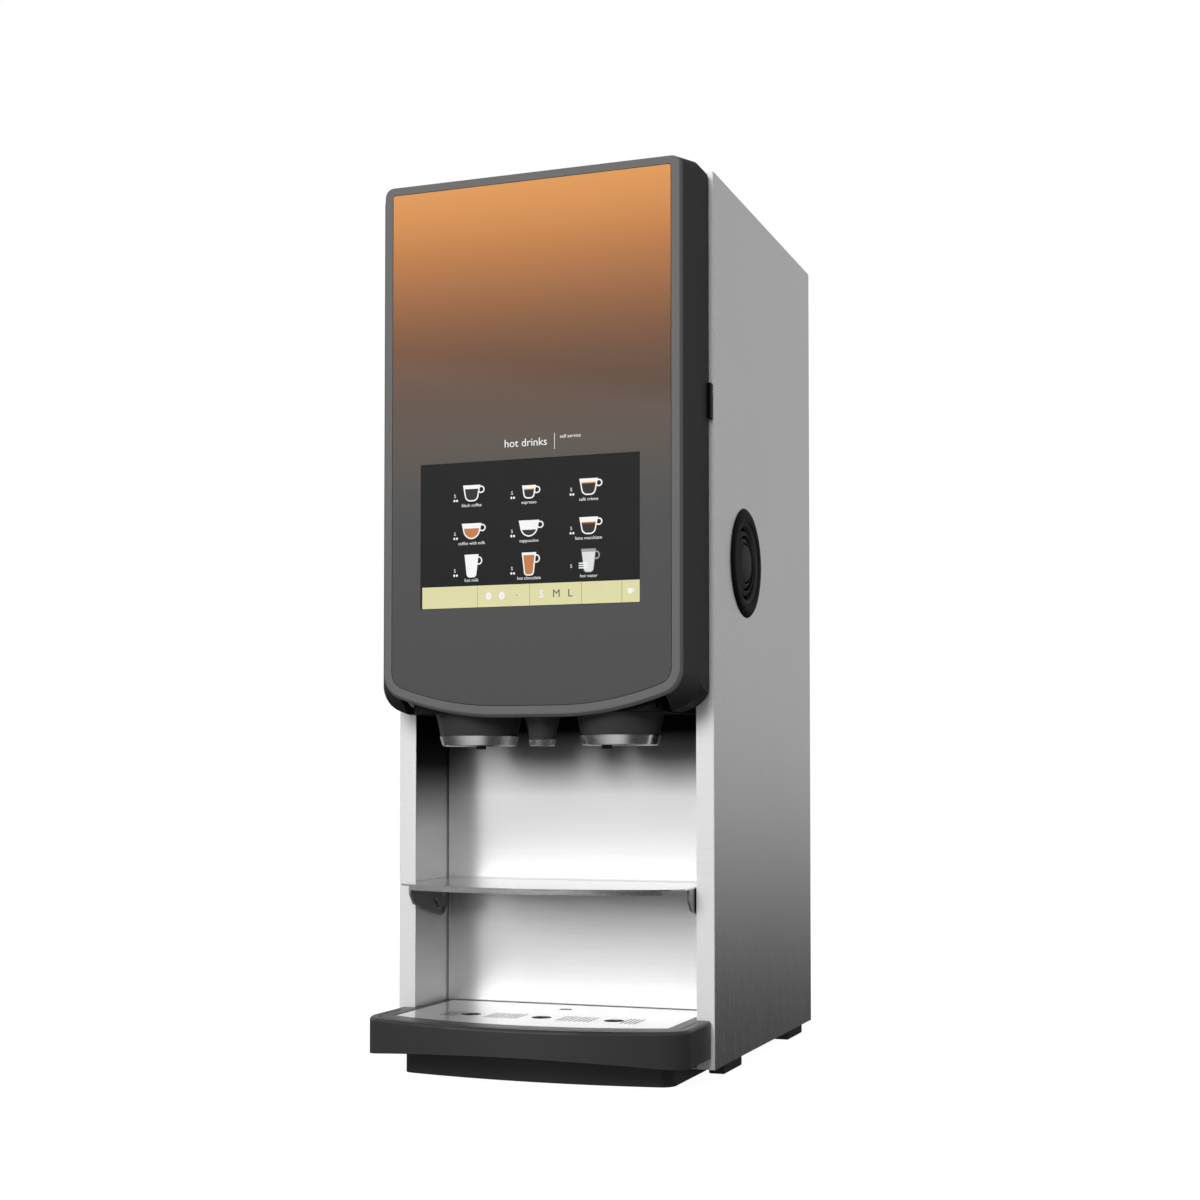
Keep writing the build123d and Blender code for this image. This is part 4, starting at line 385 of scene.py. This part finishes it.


# %% [markdown]
# ## Steel
# Brushed stainless is a mirror with thousands of parallel scratches.  Two noises, stretched a long
# way along the brushing, change the roughness and tilt the surface a little; a third, large and
# faint, is the cloudiness that rolled sheet always has.
#
# Three tones here are painted by position and do not come from the light.  The panels' front
# flanges are painted paler and less metallic than their sides: a painted highlight for the light
# that their front faces catch on the same sheet.  The niche is darkened towards its top, and lower
# down on its side walls: painted shade, the black head's reflection and shadow in the steel.  A
# dark line stands for the seam at its rear corners.  They suit this camera and stay put when the
# light or view changes, so a scene with other light would do better without them.

# %% Brushed sheet


def brushed(name, colour, rough, stretch, cloud=0.05, depth=0.00003, streak=1.0, **sockets):
    """Brushed sheet. The stretch is small along the brushing and 1 across it."""
    paint = Paint(name, colour, rough, 1.0, **sockets)
    fine = paint.noise(1500.0, stretch, 2.0, 0.6)
    broad = paint.noise(260.0, stretch, 2.0, 0.5)
    clouds = paint.noise(5.0, (1, 1, 1), 2.0, 0.5)
    tone = (fine * 0.55 + broad * 0.45 - 0.5) * streak + clouds * cloud + (0.5 - cloud / 2)
    low, high = (tuple(c * k for c in colour) for k in (0.84, 1.16))
    paint.colour(paint.mix(tone, low, high))
    paint.rough(fine * 0.14 + broad * 0.08 + (rough - 0.11))
    return paint.bump(fine * 0.6 + broad * 0.4, depth)


# the flange tone is a painted highlight: paler than the side tone of the same sheet
SIDE_TONE, FLANGE_LIT_TONE = (0.68, 0.678, 0.68), (0.97, 0.97, 0.97)
SIDE_ROUGH, FLANGE_ROUGH = 0.27, 0.50
side_steel = brushed("brushed_side_steel", SIDE_TONE, SIDE_ROUGH, (1, 1, 0.05),
                     0.20, 0.000015, 0.45)
FLANGE_SHEET = 1.2 * MM
front_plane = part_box("side_panel_right")[0].y
# painted highlight: the front flanges get a paler, less metallic finish than the sides, for the
# light their front faces catch
flange = ((front_plane + FLANGE_SHEET - side_steel.axis("Y")) / (0.4 * MM)).clamp()
side_colour = side_steel.shader.inputs["Base Color"].links[0].from_socket
side_grain = side_steel.noise(420.0, (0.06, 1, 1), 2.0, 0.6)
flange_lit_grey = side_steel.mix(side_grain, tuple(0.93 * c for c in FLANGE_LIT_TONE), FLANGE_LIT_TONE)
side_steel.colour(side_steel.mix(flange, side_colour, flange_lit_grey))
side_rough = Wire(side_steel, side_steel.shader.inputs["Roughness"].links[0].from_socket)
side_steel.rough(side_rough + flange * (FLANGE_ROUGH - SIDE_ROUGH))
side_steel.plug(side_steel.shader.inputs["Metallic"], 1 - flange * 0.88)
front_steel = brushed("bright_front_steel", (0.93, 0.93, 0.93), 0.33, (0.03, 1, 1),
                      0.12, 0.00002, 0.45,
                      Metallic=0.88, Anisotropic=0.85, Anisotropic_Rotation=0.25)
BLACK_MIRROR, SEAM_GREY = (0.004, 0.004, 0.004), (0.02, 0.02, 0.02)
NICHE_HALF = 149.4 * MM
SHADE_TOP, SHADE_REACH, WALL_DROP = 340 * MM, 68 * MM, 34 * MM
liner_colour = front_steel.shader.inputs["Base Color"].links[0].from_socket
outward = front_steel.axis("X").maths("ABSOLUTE")
side_wall = ((outward - (NICHE_HALF - 0.2 * MM)) / (0.1 * MM)).clamp()
seam = ((outward - (NICHE_HALF - 1.4 * MM)) / (0.3 * MM)).clamp() * (1 - side_wall)
above_start = front_steel.axis("Z") - SHADE_TOP + SHADE_REACH + side_wall * WALL_DROP
shade = (above_start / SHADE_REACH).clamp()
shaded = front_steel.mix(shade, liner_colour, BLACK_MIRROR)
front_steel.colour(front_steel.mix(seam * 0.85, shaded, SEAM_GREY))
shelf_steel = brushed("shelf_steel", (0.86, 0.86, 0.87), 0.24, (0.03, 1, 1), 0.1)
grate_steel = brushed("grate_steel", (0.96, 0.96, 0.96), 0.24, (0.05, 1, 1), 0.04)
zinc = brushed("zinc_sheet", (0.60, 0.61, 0.63), 0.42, (1, 0.3, 0.3), 0.16)
hardware = brushed("turned_steel", (0.55, 0.55, 0.56), 0.30, (1, 1, 1), 0.05)
dark_steel = brushed("darkened_steel", (0.30, 0.30, 0.305), 0.40, (0.1, 1, 1), 0.1)
ring_steel = brushed("satin_ring_steel", (0.95, 0.95, 0.96), 0.24, (1, 1, 1), 0.05, 0.00001, 0.3)

finish_node(side_steel, "side_panel_left", "side_panel_right", "top_cover")
finish_node(front_steel, "niche_liner")
finish_node(shelf_steel, "cup_shelf")
finish_node(grate_steel, "tray_grate")
finish_node(zinc, "rear_panel", "base_pan", "chassis_deck", "mounting_wall", "canister_shelf",
            "mixer_bracket", "door_inner_cover", "power_supply")
finish_node(hardware, "screws", "shelf_pins", "hinge_bracket_top", "hinge_bracket_bottom")
finish_node(dark_steel, "shelf_ears")
finish_node(ring_steel, "nozzle_rings")
steel_nodes = [o for o in nodes.values() if "steel" in o.material_slots[0].material.name]
print("steel on", len(steel_nodes), "nodes")

# %% [markdown]
# ## Moulded plastic
# Moulded parts come out of a spark-eroded tool with a fine, even grain.  A small noise gives the
# grain, and a broad one breaks up the gloss the way handling does.

# %% Mouldings


def moulded(name, colour, rough=0.5, grain=900.0, depth=0.00004, worn=0.06, **sockets):
    """Moulded plastic with a tool grain and slightly uneven gloss."""
    paint = Paint(name, colour, rough, 0.0, **sockets)
    skin = paint.noise(grain, (1, 1, 1), 2.0, 0.6)
    wear = paint.noise(9.0, (1, 1, 1), 3.0, 0.6)
    paint.rough(skin * 0.06 + wear * worn * 2 + (rough - 0.03 - worn))
    polished = tuple(min(1.0, c * 1.12 + 0.002) for c in colour)
    paint.colour(paint.mix(wear * 0.5, colour, polished))
    return paint.bump(skin, depth)


# painted light: the door's front rim is lighter than its sides, standing for the light its front
# face catches
SIDE_GREY, RIM_LIT_GREY = (0.062, 0.062, 0.062), (0.170, 0.167, 0.165)
RIM_DEPTH = 5.0 * MM
door_grey = moulded("door_grey", SIDE_GREY, 0.55, Specular_IOR_Level=0.05)
# painted shade: the door's sides darken towards its foot, standing for the shade under the door
FOOT_SHADE_REACH = 30 * MM
door_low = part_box("door_shell")[0]
rim = ((door_low.y + RIM_DEPTH - door_grey.axis("Y")) / (2 * MM)).clamp()
height = ((door_grey.axis("Z") - door_low.z) / FOOT_SHADE_REACH - 0.4).clamp()
sides = door_grey.mix(height, tuple(0.3 * c for c in SIDE_GREY), SIDE_GREY)
door_grey.colour(door_grey.mix(rim, sides, RIM_LIT_GREY))
black = moulded("black_moulding", (0.005, 0.005, 0.0052), 0.50, Specular_IOR_Level=0.1)
gloss_black = moulded("gloss_black", (0.045, 0.045, 0.046), 0.42, 600.0, 0.00001,
                      Specular_IOR_Level=0.15)
tray_grey = moulded("tray_grey", (0.036, 0.036, 0.036), 0.36)
plinth_black = moulded("plinth_black", (0.040, 0.040, 0.040), 0.40, Specular_IOR_Level=0.35)
foot_black = moulded("foot_rubber", (0.022, 0.022, 0.022), 0.75, 500.0, 0.0001)
VENT_RIM, VENT_FINS = (0.006, 0.006, 0.0062), (0.110, 0.110, 0.112)
vent_black = moulded("vent_black", VENT_RIM, 0.50, Specular_IOR_Level=0.04)
vent_low, vent_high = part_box("vent_cowl")
vent_middle, vent_radius = (vent_low + vent_high) / 2, (vent_high.z - vent_low.z) / 2
across, along = vent_black.axis("Y") - vent_middle.y, vent_black.axis("Z") - vent_middle.z
from_middle = (across * across + along * along).maths("SQRT")
fins = ((0.74 * vent_radius - from_middle) / (0.04 * vent_radius)).clamp()
vent_black.colour(vent_black.mix(fins, VENT_RIM, VENT_FINS))
canister_white = moulded("canister_natural", srgb(214, 212, 204), 0.38, Subsurface_Weight=0.1)
lid_black = moulded("lid_black", srgb(40, 40, 42), 0.42)
auger_white = moulded("auger_white", srgb(226, 225, 220), 0.40)
bowl_clear = moulded("bowl_frosted", srgb(190, 195, 198), 0.28)
hose_clear = moulded("hose_silicone", srgb(205, 203, 196), 0.35)
float_orange = moulded("float_orange", srgb(250, 150, 40), 0.30)
motor_grey = moulded("motor_case", srgb(96, 97, 100), 0.36, Metallic=0.7)
lagging = moulded("boiler_lagging", srgb(58, 58, 60), 0.85, 260.0, 0.0006)
valve_cream = moulded("valve_cream", srgb(214, 208, 186), 0.45)
board_green = moulded("board_green", srgb(28, 92, 56), 0.35, 140.0, 0.00008)

finish_node(door_grey, "door_shell")
finish_node(plinth_black, "plinth")
finish_node(black, "dispense_head", "door_catch", "fan_housing", "fan_rotor", "mains_inlet",
            "power_rocker")
finish_node(gloss_black, "drink_outlet_left", "drink_outlet_right", "hot_water_nozzle")
finish_node(tray_grey, "drip_tray")
finish_node(foot_black, "rubber_feet")
finish_node(vent_black, "vent_cowl")
finish_node(lid_black, "canister_lids")
finish_node(hose_clear, "drink_hoses")
finish_node(float_orange, "tray_float")
finish_node(motor_grey, "auger_motors", "whipper_motors")
finish_node(lagging, "boiler_tank")
finish_node(valve_cream, "water_valves")
finish_node(board_green, "control_board", "display_board")
for lane in ("left", "middle", "right"):
    finish_node(canister_white, f"canister_{lane}")
    finish_node(lid_black, f"canister_elbow_{lane}")
    finish_node(auger_white, f"auger_{lane}", f"impeller_{lane}")
    finish_node(bowl_clear, f"mixing_bowl_{lane}")

# %% [markdown]
# ## The printed front
# The film is printed on the back of a clear sheet: orange at the top that sinks through brown into
# dark grey, with soft drifting bands like steam.  Height over the film drives one colour ramp, and
# a wide, flat noise pushes the height up and down so that the bands are never quite level.

# %% Front film
film_low, film_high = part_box("front_film")
film_height = film_high.z - film_low.z


FILM_COLOURS = (
    (0.00, (84, 84, 84)), (0.34, (86, 85, 85)), (0.42, (89, 87, 86)), (0.50, (92, 85, 79)),
    (0.58, (98, 81, 71)), (0.62, (105, 83, 70)), (0.66, (115, 87, 71)), (0.70, (127, 92, 71)),
    (0.74, (141, 100, 72)), (0.78, (157, 108, 75)), (0.82, (172, 118, 79)), (0.86, (187, 126, 80)),
    (0.90, (202, 137, 84)), (0.94, (213, 147, 89)), (1.00, (226, 158, 96)),
)


def printed_front():
    paint = Paint("printed_front", (0.5, 0.5, 0.5), 0.42, 0.0, Specular_IOR_Level=0.15)
    level = (paint.axis("Z") - film_low.z) / film_height
    drift = paint.noise(4.0, (0.5, 1, 1.6), 2.0, 0.5, (0.3, 0, 0.2)) - 0.5
    height = level + drift * 0.02
    sunset = paint.ramp(height, *[(at, srgb(*colour)) for at, colour in FILM_COLOURS])
    mist_top = 0.645 - paint.axis("X") * 0.33 + drift * 0.10
    mist = ((mist_top - level) * 22.0).clamp() * (1 - ((0.52 - level) * 9.0).clamp())
    paint.colour(paint.mix(mist * 0.10, sunset, srgb(152, 140, 132)))
    return paint.bump(paint.noise(700.0), 0.00001)


finish_node(printed_front(), "front_film")

# %% [markdown]
# ## Screen glass
# The panel is nearly black when nothing is lit behind it.  A faint, broad change of gloss stands
# for the wiping that every touch screen gets.

# %% Screen glass
screen_glass = Paint("screen_glass", (0.0085, 0.009, 0.009), 0.40, 0.0, Specular_IOR_Level=0.2)
screen_glass.rough(screen_glass.noise(14.0, (1, 1, 1), 3.0) * 0.08 + 0.36)
finish_node(screen_glass, "touch_display")

# %% [markdown]
# ## What the screen shows
# A drinks menu is flat artwork, so it is made like a transfer: each shape is a thin closed slab
# that stands a hair proud of the glass.  Cups start as a grid of one face: the lower corners move
# in, a vertex bevel rounds them, and a plane cuts the drink off at its own level.

# %% Inks
screen_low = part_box("touch_display")[0]
PRINT_SINK = 0.02 * MM
PRINT_LIFT = 0.06 * MM


def lit_ink(name, r, g, b, glow=0.55):
    """A colour on a lit screen, with the panel's slight unevenness."""
    red, green, blue = srgb(r, g, b)
    body = tuple(c * (1 - glow) for c in (red, green, blue))
    paint = Paint(name, body, 0.42, 0.0, Specular_IOR_Level=0.25, Emission_Strength=1.0)
    uneven = paint.noise(30.0, (1, 1, 1), 2.0) * 0.10 + (glow - 0.05)
    parts = {0: uneven * red, 1: uneven * green, 2: uneven * blue}
    light = paint.node("ShaderNodeCombineColor", None, parts)
    paint.plug(paint.shader.inputs["Emission Color"], light.outputs[0])
    return paint.material


INK_COLOURS = {
    "white": (250, 250, 250), "caramel": (196, 126, 78), "crema": (224, 142, 62),
    "brown": (104, 62, 36), "black": (44, 45, 45), "band": (226, 222, 172),
    "line": (176, 150, 118), "letter": (84, 76, 88),
    "pale": (226, 227, 228), "grey": (160, 161, 162),
}
INKS = list(INK_COLOURS)
ink_materials = [lit_ink(f"ink_{name}", *INK_COLOURS[name]) for name in INKS]

# %% [markdown]
# ## Flat shapes
# Every drawing below is made of a few flat shapes: a panel, a disc, a cup's outline and a ring.
# `press` gives a shape its thickness and an ink, and adds it to one shared mesh, so that the whole
# menu stays a single light piece.

# %% Printing


def press(target, shape, ink, x, z, lift=1):
    """Give a flat shape its thickness, stand it on the screen and add it to the artwork."""
    bmesh.ops.remove_doubles(shape, verts=shape.verts, dist=1e-6)
    thickness = PRINT_SINK + PRINT_LIFT * lift
    bmesh.ops.solidify(shape, geom=list(shape.faces), thickness=thickness)
    bottom = min(v.co.z for v in shape.verts)
    bmesh.ops.translate(shape, vec=(0, 0, -bottom - PRINT_SINK), verts=shape.verts)
    bmesh.ops.recalc_face_normals(shape, faces=shape.faces)
    upright = Matrix.Rotation(math.pi / 2, 4, "X")
    stand = Matrix.Translation((x * MM, screen_low.y, z * MM)) @ upright
    bmesh.ops.transform(shape, matrix=stand, verts=shape.verts)
    for face in shape.faces:
        face.material_index = INKS.index(ink)
    scratch = bpy.data.meshes.new("scratch")
    shape.to_mesh(scratch)
    shape.free()
    target.from_mesh(scratch)
    bpy.data.meshes.remove(scratch)


def panel(width, height):
    shape = bmesh.new()
    bmesh.ops.create_grid(shape, x_segments=1, y_segments=1, size=0.5 * MM)
    bmesh.ops.scale(shape, vec=(width, height, 1), verts=shape.verts)
    return shape


def disc(width, height):
    shape = bmesh.new()
    bmesh.ops.create_circle(shape, cap_ends=True, segments=20, radius=0.5 * MM)
    bmesh.ops.scale(shape, vec=(width, height, 1), verts=shape.verts)
    return shape


def vessel(width, height, foot, corner, border=0.0, level=None):
    """A cup's outline: narrow at the foot, round at its lower corners, cut at a liquid's level."""
    shape = panel(width, height)
    low = [v for v in shape.verts if v.co.y < 0]
    bmesh.ops.scale(shape, vec=(foot / width, 1, 1), verts=low)
    bmesh.ops.bevel(shape, geom=low, offset=corner * MM, offset_type="OFFSET", segments=6,
                    profile=0.5, affect="VERTICES", material=-1, clamp_overlap=True)
    if border:
        rim = bmesh.ops.inset_region(shape, faces=list(shape.faces), thickness=border * MM,
                                     use_boundary=True, use_even_offset=True)
        bmesh.ops.delete(shape, geom=rim["faces"], context="FACES")
    if level is not None:
        whole = list(shape.verts) + list(shape.edges) + list(shape.faces)
        bmesh.ops.bisect_plane(shape, geom=whole,
                               plane_co=(0, (height / 2 - level) * MM, 0), plane_no=(0, 1, 0),
                               clear_outer=True)
    return shape


def ring(width, height, border):
    """A cup's handle: two circles bridged."""
    shape = bmesh.new()
    for grow in (0, -2 * border):
        made = bmesh.ops.create_circle(shape, segments=28, radius=0.5 * MM)
        bmesh.ops.scale(shape, vec=(width + grow, height + grow, 1), verts=made["verts"])
    bmesh.ops.bridge_loops(shape, edges=list(shape.edges))
    return shape


def lettering(words, cap_height, ink, x, z, target, lift=1, align="CENTER"):
    """Plain lettering as a flat mesh; cap_height is a capital's height in millimetres."""
    curve = bpy.data.curves.new("letters", "FONT")
    curve.body = words
    curve.align_x = align
    curve.align_y = "CENTER"
    curve.resolution_u = 3
    curve.size = cap_height * MM / 0.70
    holder = bpy.data.objects.new("letters", curve)
    bpy.context.scene.collection.objects.link(holder)
    bpy.context.view_layer.update()
    evaluated = holder.evaluated_get(bpy.context.evaluated_depsgraph_get())
    flat = bpy.data.meshes.new_from_object(evaluated)
    bpy.data.objects.remove(holder)
    bpy.data.curves.remove(curve)
    shape = bmesh.new()
    shape.from_mesh(flat)
    bpy.data.meshes.remove(flat)
    press(target, shape, ink, x, z, lift)


def piece_from(shape, name, materials, body):
    """Turn a finished bmesh into a piece that rides on a body."""
    mesh = bpy.data.meshes.new(name)
    shape.to_mesh(mesh)
    shape.free()
    for material in materials:
        mesh.materials.append(material)
    made = bpy.data.objects.new(name, mesh)
    bpy.context.scene.collection.objects.link(made)
    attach(made, body)
    print(name, len(mesh.polygons), "faces")
    return made


# %% [markdown]
# ## The drinks
# Nine cups stand in three columns and three rows.  One table holds what differs between them, and
# one function draws any of them, so a drink is added by adding a line.

# %% Cups and their drinks
LINE = 1.3
COLUMNS = (-59.2, 1.2, 62.5)
ROWS = (568.5, 531.3, 498.5)
MARK_X = -17.8

# name, column, row, width, height, foot, corner, layers of (ink, level from the rim), bean marks
CUPS = (
    ("black coffee", 0, 0, 18.5, 16.0, 12.6, 4.6, (("black", 3.8),), 2),
    ("espresso", 1, 0, 14.5, 13.0, 10.4, 3.6, (("crema", 3.4), ("black", 4.4)), 2),
    ("caf\u00e9 cr\u00e8me", 2, 0, 19.0, 16.0, 13.0, 4.6, (("crema", 3.6), ("black", 4.8)), 2),
    ("coffee with milk", 0, 1, 21.0, 15.5, 14.5, 7.4, (("caramel", 5.0),), 2),
    ("cappuccino", 1, 1, 21.4, 16.0, 14.5, 7.6, (("black", 9.2),), 2),
    ("latte macchiato", 2, 1, 19.0, 16.5, 13.0, 4.6,
     (("crema", 4.8), ("brown", 5.6), ("black", 7.0)), 2),
    ("hot milk", 0, 2, 15.0, 22.5, 9.6, 3.0, (), 2),
    ("hot chocolate", 1, 2, 15.0, 22.5, 9.6, 3.0, (("caramel", 2.6),), 2),
    ("hot water", 2, 2, 15.0, 22.5, 9.6, 3.0, (("grey", 0.0), ("pale", 3.0)), 0),
)


# how far some cups sit below their row's middle
SETTLE = {"espresso": 1.8, "hot milk": 1.2, "hot chocolate": 1.6, "hot water": 0.6}


def draw_cup(target, words, column, row, width, height, foot, corner, layers, beans):
    x, z = COLUMNS[column], ROWS[row]
    tall = height > width
    z -= SETTLE.get(words, 0.0)
    handle_x = x + width / 2 + (0.2 if tall else 0.8)
    handle_z = z + height / 2 - (6.2 if tall else 4.6)
    plain = words != "hot water"
    china = "white" if plain else "grey"
    press(target, ring(7.4, 8.2 if tall else 7.2, LINE), china, handle_x, handle_z, 1)
    press(target, vessel(width, height, foot, corner), china, x, z, 1.5)
    for step, (ink, level) in enumerate(layers):
        border = LINE if plain else 0.5
        press(target, vessel(width, height, foot, corner, border, level), ink, x, z, 2 + 0.5 * step)
    lettering(words, 3.1, "white", x, ROWS[row] - (15.2 if tall else 11.8), target)
    drop = 5.6 if tall else 2.2
    lettering("S", 3.3, "white", x + MARK_X, ROWS[row] - drop, target)
    for i in range(beans):
        bean_x = x + MARK_X - 0.6 + 2.8 * i
        press(target, disc(2.1, 2.4), "white", bean_x, ROWS[row] - drop - 4.5)


artwork = bmesh.new()
for cup in CUPS:
    draw_cup(artwork, *cup)
for i in range(3):
    press(artwork, panel(9.0, 1.2), "white", COLUMNS[2] - 5.5, ROWS[2] - 3.0 - 2.2 * i, 4)

# %% [markdown]
# ## The choice bar
# A pale strip under the drinks offers strength and cup size with plain marks and the letters S M L.

# %% The choice bar
BAR_LOW, BAR_HIGH = 456.7, 477.8
BAR_LEFT, BAR_RIGHT = -111.9, 113.8
bar_x, bar_z = (BAR_LEFT + BAR_RIGHT) / 2, (BAR_LOW + BAR_HIGH) / 2
press(artwork, panel(BAR_RIGHT - BAR_LEFT, BAR_HIGH - BAR_LOW), "band", bar_x, bar_z)
for x in (-52.7, 1.9, 55.4, 96.0):
    press(artwork, panel(0.45, BAR_HIGH - BAR_LOW), "line", x, bar_z, 2)
for x in (-41.0, -27.0):
    press(artwork, disc(5.8, 7.4), "white", x, bar_z, 2)
    press(artwork, disc(0.8, 5.6), "pale", x + 0.4, bar_z, 3)
press(artwork, disc(1.4, 1.0), "letter", -11.5, bar_z, 2)
for letter, ink, x in (("S", "white", 14.0), ("M", "letter", 29.6), ("L", "letter", 43.6)):
    lettering(letter, 7.4, ink, x, bar_z, artwork, 2)
press(artwork, ring(3.0, 2.8, 0.6), "white", 107.2, bar_z + 0.8, 2)
press(artwork, vessel(5.6, 5.2, 3.4, 1.2), "white", 104.3, bar_z, 3)
piece_from(artwork, "screen_artwork", ink_materials, "door")

# %% [markdown]
# ## The name on the film
# Plain white lettering above the screen, printed on the film like the rest.

# %% Film lettering
film_print = bmesh.new()
lettering("hot drinks", 7.6, "white", -2.5, 614.5, film_print)
press(film_print, panel(0.5, 15.5), "white", 27.5, 614.5)
lettering("self service", 3.4, "white", 33.0, 618.5, film_print, align="LEFT")
piece_from(film_print, "film_lettering", ink_materials, "door")
